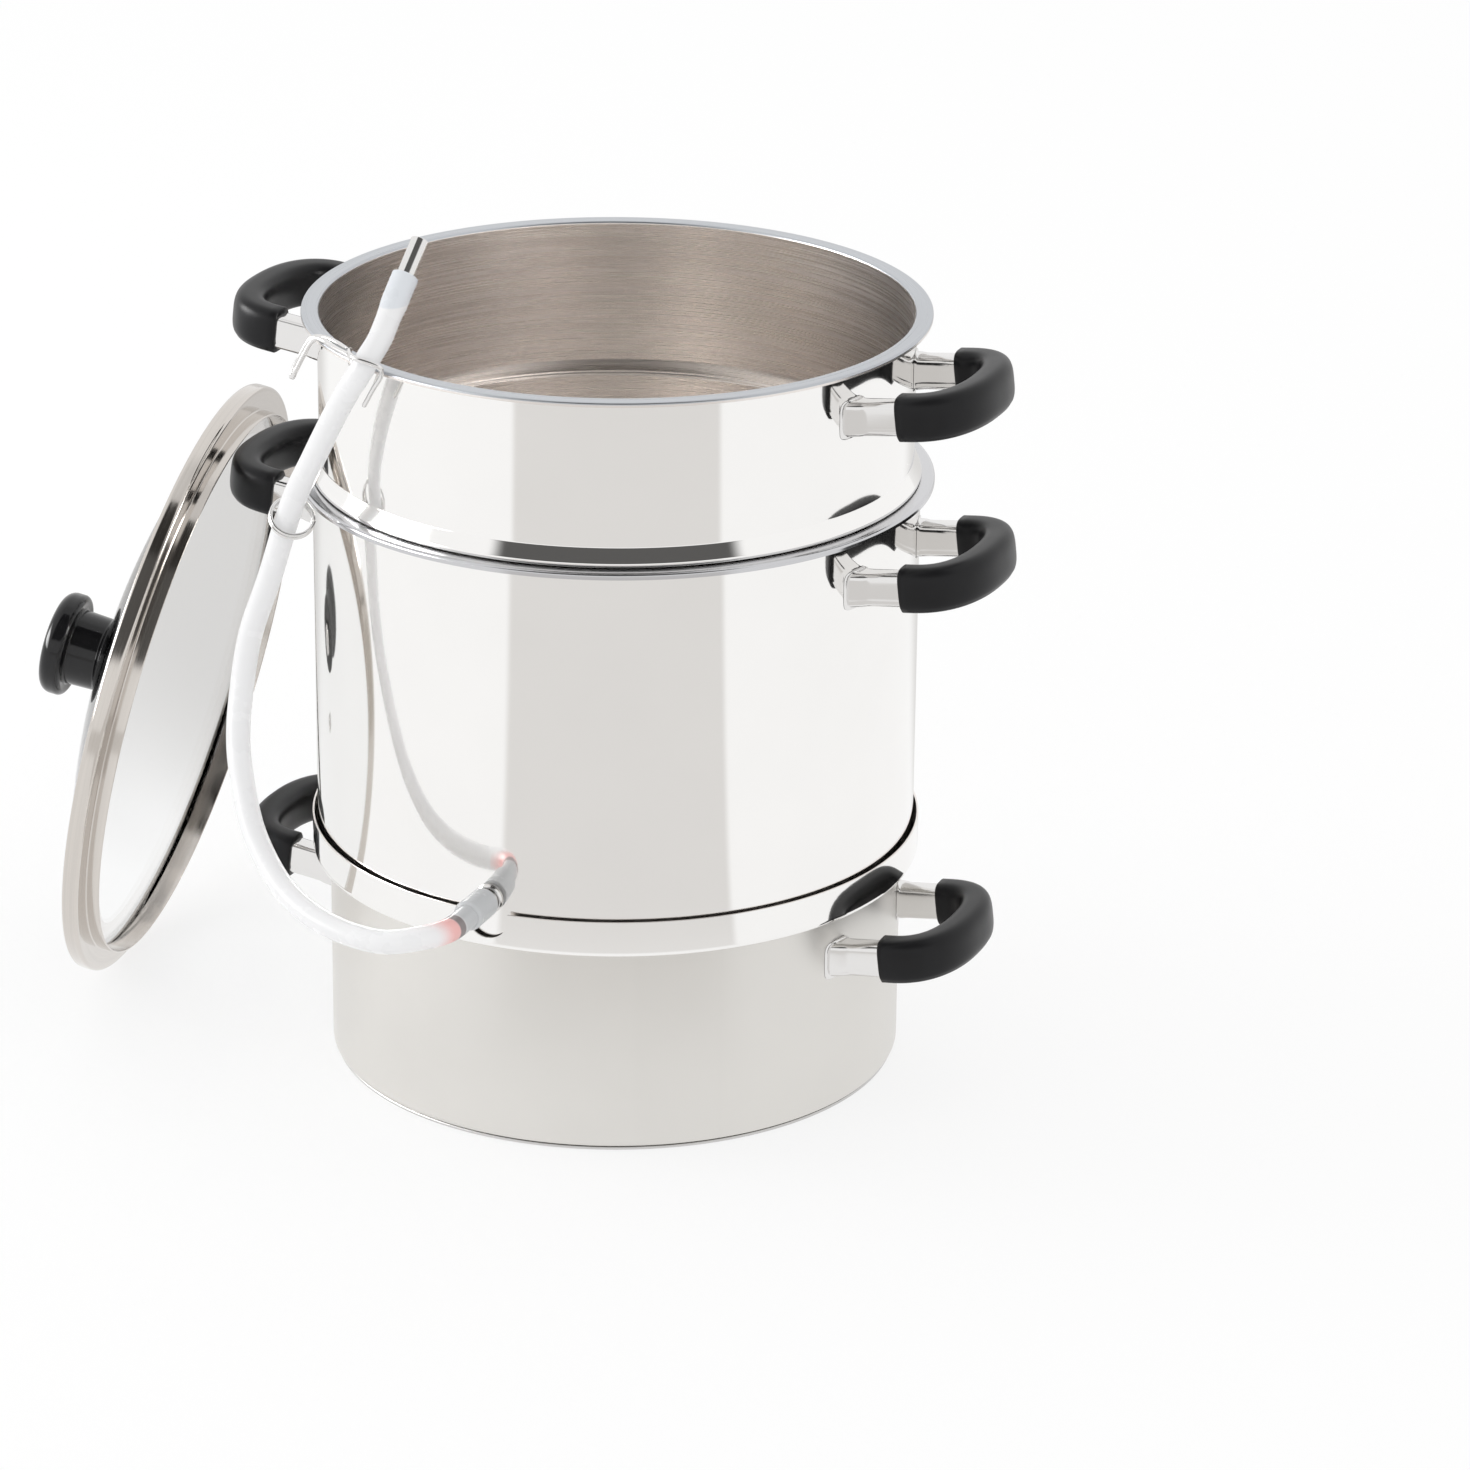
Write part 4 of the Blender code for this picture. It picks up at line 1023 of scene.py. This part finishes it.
def leg_rings(wall_radius, frame_matrix, end):
    """Cross-sections of a leg from the vessel's wall to the grip, flared outward over its weld."""
    rings = []
    for x in (None, *LEG_STATIONS, LEG_LENGTH + 2 * GAP):
        near = max(0.0, 1.0 - (x or 0.0) / WELD_REACH) ** WELD_CURVE
        flare = WELD_FLARE * near
        tall = LEG_HALF_HEIGHT + WELD_HEIGHT * near
        ring = []
        for j in range(LEG_SIDES):
            y, z = squared(2 * math.pi * (j + 0.5) / LEG_SIDES, LEG_SQUARENESS)
            wide = LEG_HALF_WIDTH * y
            if y * end > 0:
                wide += flare * end * abs(y)
            groove = GROOVE_DEPTH * math.exp(-(((z + GROOVE_PLACE) / GROOVE_WIDTH) ** 2)) if x else 0.0
            wide -= math.copysign(groove, y)
            spot = Vector((x or 0.0, end * LEG_OFFSET + wide, tall * z))
            if x is None:
                spot.x = wall_ahead(spot, wall_radius, frame_matrix)
            ring.append(spot)
        rings.append(ring)
    # Rings that would cut into the weld's curved foot follow it instead
    low = max(point.x for point in rings[0])
    for ring in rings[1:]:
        if ring[0].x < low + WELD_CLEARANCE:
            for start, point in zip(rings[0], ring):
                point.x = start.x + WELD_STEP + WELD_FOLLOW_SHARE * point.x
    return rings


grips = []
legs = []
shared_grip = grip_rings()
for vessel, wall_radius, height in (
    ("water_pot", POT_RADIUS, POT_HANDLE_HEIGHT),
    ("juice_pan", PAN_RADIUS, PAN_HANDLE_HEIGHT),
    ("basket", BASKET_RADIUS, BASKET_HANDLE_HEIGHT),
):
    for side, hand in ((1, "right"), (-1, "left")):
        root = math.sqrt(wall_radius**2 - LEG_OFFSET**2)
        frame_matrix = (
            Matrix.Rotation(0.0 if side > 0 else math.pi, 4, "Z")
            @ Matrix.Translation((root, 0.0, height))
            @ Matrix.Rotation(-HANDLE_RISE, 4, "Y")
        )
        label = f"{vessel}_{hand}"
        grip = lofted(f"{label}_black_grip", shared_grip, matrix=frame_matrix)
        grips.append(show(grip, vessel, "phenolic", f"{label}_grip"))
        for end in (-1, 1):
            where = f"{label}_{'front' if end * side < 0 else 'rear'}"
            leg = lofted(f"{where}_leg", leg_rings(wall_radius, frame_matrix, end), matrix=frame_matrix)
            legs.append(show(leg, vessel, "bracket_steel", f"{where}_bracket", f"{where}_ferrule"))


# Lid: its steel band, domed glass, vent eyelet, washer, knob and screw
lid_axis = Vector(
    (-math.cos(LID_LEAN) * math.cos(LID_YAW), -math.cos(LID_LEAN) * math.sin(LID_YAW), math.sin(LID_LEAN))
)
lid_level = Vector((0.0, 0.0, 1.0)).cross(lid_axis).normalized()
lid_turn = Matrix((lid_level, lid_axis.cross(lid_level), lid_axis)).transposed().to_4x4()
lid_matrix = Matrix.Translation(LID_PLACE) @ lid_turn

glass_top = BAND_TOP - SHEET - GAP
glass_under = glass_top - GLASS_THICKNESS
glass_edge = LID_RADIUS - 2 * SHEET - GAP
skirt_bore = SKIRT_RADIUS - SHEET
dome_radius = (COVER_EDGE**2 + GLASS_RISE**2) / (2 * GLASS_RISE)


def dome(radius):
    """Height of the glass's underside at this distance from the lid's axis."""
    if radius >= COVER_EDGE:
        return glass_under
    return glass_under + GLASS_RISE - dome_radius + math.sqrt(dome_radius**2 - radius**2)


band_path = [
    (COVER_EDGE, BAND_TOP, 0.0),
    (LID_RADIUS, BAND_TOP, BAND_CORNER),
    (LID_RADIUS, SKIRT_DEPTH, BAND_UNDER_CORNER),
    (SKIRT_RADIUS, SKIRT_DEPTH, SKIRT_ROOT_ROUND),
    (SKIRT_RADIUS, 0.0, SKIRT_EDGE),
    (skirt_bore, 0.0, SKIRT_EDGE),
    (skirt_bore, glass_under - GAP, 0.0),
    (glass_edge + GAP, glass_under - GAP, 0.0),
    (glass_edge + GAP, glass_top + GAP, 0.0),
    (COVER_EDGE, glass_top + GAP, 0.0),
]
band = eyelet("lid_band", band_path, WALL_STEPS, lid_matrix)
show(band, "lid", "band_steel", "lid_rim_band")

reaches = [SCREW_BORE + (COVER_EDGE - SCREW_BORE) * k / GLASS_STEPS for k in range(GLASS_STEPS + 1)]
glass_path = [Vector((r, dome(r) + GLASS_THICKNESS)) for r in reaches]
glass_path += [Vector((glass_edge, glass_top)), Vector((glass_edge, glass_under))]
glass_path += [Vector((r, dome(r))) for r in reversed(reaches)]
glass = outward(turned("lid_dome", glass_path, WALL_STEPS, True, lid_matrix))
vent_place = Matrix.Translation((0.0, -VENT_REACH, dome(VENT_REACH)))
vent_matrix = lid_matrix @ vent_place @ Matrix.Rotation(math.asin(VENT_REACH / dome_radius), 4, "X")
hole_path = [
    Vector((0.0, VENT_CUT_TOP)),
    Vector((VENT_BORE, VENT_CUT_TOP)),
    Vector((VENT_BORE, VENT_CUT_FOOT)),
    Vector((0.0, VENT_CUT_FOOT)),
]
vent_hole = turned("vent_hole", hole_path, VENT_CUT_STEPS, matrix=vent_matrix)
cut(glass, outward(vent_hole))
show(creased(glass, 30), "lid", "lid_glass", "lid_glass")

vent_path = [
    (EYELET_BORE, EYELET_TOP, 0.0),
    (EYELET_FLANGE_RADIUS, EYELET_TOP, EYELET_EDGE),
    (EYELET_FLANGE_RADIUS, EYELET_TOP_SEAT, 0.0),
    (EYELET_TUBE_RADIUS, EYELET_TOP_SEAT, 0.0),
    (EYELET_TUBE_RADIUS, EYELET_FOOT_SEAT, 0.0),
    (EYELET_FLANGE_RADIUS, EYELET_FOOT_SEAT, 0.0),
    (EYELET_FLANGE_RADIUS, EYELET_FOOT, EYELET_EDGE),
    (EYELET_BORE, EYELET_FOOT, EYELET_FOOT_EDGE),
    (EYELET_BORE, EYELET_MOUTH, 0.0),
]
grommet = eyelet("vent_eyelet", vent_path, EYELET_STEPS, vent_matrix, FINE_HOLD)
show(grommet, "lid", "grommet_steel", "lid_vent_grommet")

seat_foot = glass_under + GLASS_RISE + GLASS_THICKNESS + GAP
seat_path = [
    (SCREW_BORE, seat_foot + SEAT_THICKNESS, 0.0),
    (SEAT_RADIUS, seat_foot + SEAT_THICKNESS, SEAT_TOP_ROUND),
    (SEAT_RADIUS, seat_foot, SEAT_FOOT_ROUND),
    (SCREW_BORE, seat_foot, 0.0),
]
seat = eyelet("knob_washer", seat_path, SEAT_STEPS, lid_matrix)
show(seat, "lid", "seat_rubber", "lid_knob_seat")

knob_foot = seat_foot + SEAT_THICKNESS + GAP
cap_top = knob_foot + KNOB_HEIGHT
knob_path = [
    (0.0, cap_top - KNOB_TOP_DIP, 0.0),
    (KNOB_TOP_FLAT, cap_top, KNOB_TOP_ROUND),
    (KNOB_RADIUS, cap_top - KNOB_SIDE_DROP, KNOB_SIDE_ROUND),
    (KNOB_RADIUS, cap_top - KNOB_CAP_DEPTH, KNOB_CAP_ROUND),
    (KNOB_NECK_RADIUS, cap_top - KNOB_NECK_DEPTH, KNOB_NECK_ROUND),
    (KNOB_STEM_RADIUS, knob_foot + KNOB_STEM_FOOT, KNOB_STEM_ROUND),
    (KNOB_BASE_TOP_RADIUS, knob_foot + KNOB_BASE_HEIGHT, KNOB_BASE_ROUND),
    (KNOB_BASE_RADIUS, knob_foot, KNOB_BASE_EDGE),
    (KNOB_HOLE_RADIUS, knob_foot, 0.0),
    (KNOB_HOLE_RADIUS, knob_foot + KNOB_HOLE_DEPTH, 0.0),
    (0.0, knob_foot + KNOB_HOLE_DEPTH, 0.0),
]
knob_outline = soft(knob_path, KNOB_ROUND_STEPS)
knob = outward(turned("black_knob", knob_outline, KNOB_STEPS, matrix=lid_matrix))
show(knob, "lid", "knob_black", "lid_knob")

head_top = dome(SCREW_HEAD_RADIUS) - GAP
screw_path = [
    (0.0, knob_foot + SCREW_DEPTH, 0.0),
    (SCREW_RADIUS, knob_foot + SCREW_DEPTH, 0.0),
    (SCREW_RADIUS, head_top, 0.0),
    (SCREW_HEAD_RADIUS, head_top, SCREW_HEAD_EDGE),
    (SCREW_HEAD_RADIUS, head_top - SCREW_HEAD_HEIGHT, SCREW_HEAD_ROUND),
    (0.0, head_top - SCREW_HEAD_HEIGHT, 0.0),
]
screw_outline = soft(screw_path, SCREW_ROUND_STEPS)
screw = outward(turned("knob_screw", screw_outline, SCREW_STEPS, matrix=lid_matrix))
slot_box = bmesh.new()
bmesh.ops.create_cube(slot_box, size=1.0, matrix=Matrix.Diagonal((*SLOT_BOX, 1.0)))
slot_matrix = lid_matrix @ Matrix.Translation((0.0, 0.0, head_top - SLOT_DROP))
cut(screw, cutter_from(slot_box, "screw_slot", slot_matrix))
show(creased(screw, 40), "lid", "screw_steel", "lid_knob_screw")


# Finishes of the pieces
def shade(colour, share):
    """The colour made darker or lighter by this share."""
    return tuple(min(1.0, part * share) for part in colour)


def polished(name, colour, roughness, streak):
    """Mirror steel: faint fine polishing lines round the piece and a slow haze."""
    steel = Finish(name, colour, roughness, 1.0)
    x, y, z = steel.axes(steel.spot())
    lines = steel.noise(steel.vector(x * 6.0, y * 6.0, z * 900.0), 1.0, 3.0)
    haze = steel.noise(steel.spot(), 22.0, 3.0)
    steel.set("Roughness", (haze * 0.05 + lines * streak + (roughness - 0.03)).limited())
    steel.set("Base Color", steel.mix((haze * 1.6 - 0.3).limited(), shade(colour, 0.97), colour))
    steel.raise_by(lines, 0.00001, 0.25)
    return steel


def brushed(name, colour, roughness, fine=1400.0, depth=0.00003, frame_matrix=None):
    """Steel brushed round the axis of its frame: rings on flat faces, level lines on walls."""
    steel = Finish(name, colour, roughness, 1.0)
    x, y, z = steel.axes(steel.spot()) if frame_matrix is None else steel.axes_in(frame_matrix)
    reach = (x * x + y * y).root()
    lines = steel.noise(steel.vector((reach + z) * fine, x * 9.0, y * 9.0), 1.0, 4.0, 0.6)
    bands = steel.noise(steel.vector((reach + z) * (fine / 9), x * 4.0, y * 4.0), 1.0, 2.0)
    pale = (lines * 0.55 + bands * 0.7 - 0.15).limited()
    steel.set("Base Color", steel.mix(pale, shade(colour, 0.80), shade(colour, 1.10)))
    steel.set("Roughness", (lines * 0.22 + (roughness - 0.11)).limited())
    steel.raise_by(lines, depth, 0.6)
    return steel


def satin(name, colour, roughness):
    """Even satin steel with a soft grain that runs up the wall."""
    steel = Finish(name, colour, roughness, 1.0)
    x, y, z = steel.axes(steel.spot())
    grain = steel.noise(steel.vector(x * 1500.0, y * 1500.0, z * 40.0), 1.0, 3.0)
    haze = steel.noise(steel.spot(), 14.0, 3.0)
    steel.set("Roughness", (grain * 0.04 + haze * 0.06 + (roughness - 0.05)).limited())
    steel.set("Base Color", steel.mix(haze, shade(colour, 0.94), shade(colour, 1.04)))
    steel.raise_by(grain, 0.000001, 0.2)
    return steel


mirror = polished("mirror_steel", (0.93, 0.92, 0.905), 0.05, 0.02)
bright = polished("bright_steel", (0.80, 0.79, 0.78), 0.10, 0.03)
inner = brushed("brushed_inside", (0.90, 0.855, 0.82), 0.27, 1400.0, 0.00012)
lip = brushed("satin_lip", (0.55, 0.57, 0.60), 0.30, 2600.0, 0.00001)
pan_lip = polished("pan_lip_steel", (0.62, 0.62, 0.635), 0.15, 0.04)
pot_skin = satin("satin_pot", (0.755, 0.737, 0.705), 0.36)
plate_skin = brushed("turned_plate", (0.66, 0.65, 0.64), 0.32)
band_skin = brushed("lid_band_steel", (0.68, 0.64, 0.60), 0.11, 2200.0, 0.00001, lid_matrix)


def by_zone(piece, *finishes):
    """Finishes a vessel: the wall's outside and inside, then those of its lip or collar."""
    for number, finish in enumerate(finishes):
        piece.data.materials[number] = finish.owner


by_zone(pot, pot_skin, inner, mirror, inner)
by_zone(pan, mirror, inner, bright, pan_lip)
by_zone(basket, mirror, inner, bright, lip)
by_zone(cone, *[plate_skin] * ZONES)
inner.on(basket_floor_plate)
plate_skin.on(plate)
bright.on(spout, collar, outlet, clamp, clip, grommet, screw, *legs)
band_skin.on(band)

black = Finish("satin_black_moulding", (0.020, 0.020, 0.021), 0.40, Specular_IOR_Level=0.20)
grain = black.noise(black.spot(), 2600.0, 2.0)
wear = black.noise(black.spot(), 60.0, 4.0)
black.set("Base Color", black.mix(wear, (0.007, 0.007, 0.008), (0.014, 0.014, 0.015)))
black.set("Roughness", wear * 0.14 + grain * 0.08 + 0.22)
black.raise_by(grain, 0.00004, 0.5)
black.on(*grips)

gloss = Finish("gloss_black_moulding", (0.006, 0.006, 0.007), 0.10, Specular_IOR_Level=0.42)
swirl = gloss.noise(gloss.spot(), 90.0, 3.0)
gloss.set("Base Color", gloss.mix(swirl, (0.005, 0.005, 0.006), (0.009, 0.009, 0.010)))
gloss.set("Roughness", swirl * 0.08 + 0.06)
gloss.on(knob)

washer = Finish("black_washer", (0.015, 0.015, 0.015), 0.6)
dust = washer.noise(washer.spot(), 400.0, 3.0)
washer.set("Base Color", washer.mix(dust, (0.010, 0.010, 0.010), (0.024, 0.024, 0.024)))
washer.set("Roughness", dust * 0.2 + 0.5)
washer.on(seat)

clear = Finish("clear_glass", (0.97, 0.98, 0.98), 0.0, Transmission_Weight=1.0, IOR=1.45)
tone = clear.noise(clear.spot(), 9.0, 2.0)
clear.set("Base Color", clear.mix(tone, (0.940, 0.945, 0.945), (0.962, 0.965, 0.965)))
clear.set("Roughness", tone * 0.01)
clear.on(glass)

# The hose's foot is greyed by the spout inside it, then comes painted shade for the spout's dark mouth,
# and a little juice
# The silicone glows faintly in its own colour: painted light, though the hose is no lamp
milky = Finish("milky_silicone", (0.80, 0.80, 0.81), 0.30, IOR=1.41, Alpha=0.88, Emission_Strength=0.17)
x, y, z = milky.axes(milky.spot())
near_spout = x > -0.02
run = y * -1.0 + HOSE_ROUTE[0][1]
sleeve = near_spout * (1 - run.between(0.0210, 0.0225))
# Painted shade: the dark inside of the spout's open mouth, seen through the hose
painted_mouth_shade = near_spout * run.between(0.0215, 0.0225) * (1 - run.between(0.0255, 0.0265))
juice = near_spout * run.between(0.0250, 0.0265) * (1 - run.between(0.0285, 0.0365))
cloud = milky.noise(milky.spot(), 70.0, 3.0)
white = milky.mix(cloud, (0.74, 0.74, 0.745), (0.78, 0.78, 0.785))
tinted = milky.mix(juice * 0.62, white, (0.80, 0.26, 0.23))
greyed = milky.mix(sleeve * 0.8, tinted, (0.44, 0.45, 0.46))
banded = milky.mix(painted_mouth_shade * 0.85, greyed, (0.13, 0.10, 0.10))
over_outlet = z.between(0.3675, 0.3682)
skin = milky.mix(over_outlet * 0.45, banded, (0.52, 0.57, 0.63))
milky.set("Base Color", skin)
# Painted light: the glow takes the hose's own colour
milky.set("Emission Color", skin)
milky.set("Roughness", cloud * 0.10 + 0.22)
milky.on(hose, hose_cuff)

# Studio: a pale table that runs on as the backdrop, an even white sky and one large soft lamp; table and
# sky also hold painted reflections that only metal sees
def toward_camera(x, y, reach):
    """How far a level direction points at the camera: 1 at it, -1 away from it."""
    return (x * math.sin(CAMERA_FACING) - y * math.cos(CAMERA_FACING)) / (reach + 0.001)


floor_mesh = bpy.data.meshes.new("studio_table")
corners = [(x * TABLE_HALF, y * TABLE_HALF, 0) for x, y in ((-1, -1), (1, -1), (1, 1), (-1, 1))]
floor_mesh.from_pydata(corners, [], [(0, 1, 2, 3)])
floor = bpy.data.objects.new("studio_table", floor_mesh)
scene.collection.objects.link(floor)
floor.location = (0.0, 0.0, -GAP)
table = Finish("studio_white", (0.93, 0.93, 0.93), 0.9, Specular_IOR_Level=0.0)
x, y, z = table.axes(table.spot())
reach = (x * x + y * y).root()
toward = toward_camera(x, y, reach)
paths = table.add("ShaderNodeLightPath")
camera_ray = table.also(paths, "Is Camera Ray")
glossy_ray = table.also(paths, "Is Glossy Ray")
clear_ray = table.also(paths, "Is Transmission Ray")
# Painted reflections: only glossy rays see two greyer parts of the table, one before the juicer and one
# behind it
front = toward.between(0.78, 0.81) * reach.between(0.20, 0.42) * glossy_ray
rear = (toward * -1.0).between(0.72, 0.92) * glossy_ray
fronted = table.mix(front, (1.0, 1.0, 1.0), (0.74, 0.725, 0.71))
shine = table.add("ShaderNodeEmission", None, {"Color": table.mix(rear, fronted, (0.71, 0.70, 0.69))})
share = camera_ray * 0.78 + glossy_ray * 0.88 + clear_ray * 0.85
table.finally_mix(share, shine)
table.on(floor)

world = bpy.data.worlds.new("studio_sky")
scene.world = world
sky = Finish(world)
x, y, z = sky.axes(sky.add("ShaderNodeTexCoord", output="Generated"))
toward = toward_camera(x, y, (x * x + y * y).root())
# Painted reflections that light nothing, seen by glossy rays only: a dark zone above the camera, a
# slightly darker ceiling and a bright window on the left that paints highlights
behind_camera = toward.between(0.60, 0.70) * z.between(0.40, 0.48)
overhead = z.between(0.90, 0.97)
dark = (behind_camera * 0.93 + overhead * 0.20).limited()
painted_window_highlight = (x * -0.93 - y * 0.37).between(0.86, 0.92) * z.between(0.09, 0.14) * (1 - z.between(0.40, 0.46))
glossy = sky.add("ShaderNodeLightPath", output="Is Glossy Ray")
shaded = sky.mix(dark * glossy, (1.0, 1.0, 1.0), (0.04, 0.038, 0.036))
sky.set("Color", sky.mix(painted_window_highlight * glossy, shaded, (9.0, 9.0, 9.0)))
sky.set("Strength", 1.0)

lamp_data = bpy.data.lights.new("soft_lamp", "AREA")
lamp_data.shape = "RECTANGLE"
lamp_data.size, lamp_data.size_y = LAMP_SIZE
lamp_data.energy = LAMP_POWER
lamp = bpy.data.objects.new("soft_lamp", lamp_data)
scene.collection.objects.link(lamp)
lamp.location = LAMP_PLACE
lamp.rotation_euler = (Vector(LAMP_AIM) - lamp.location).to_track_quat("-Z", "Y").to_euler()
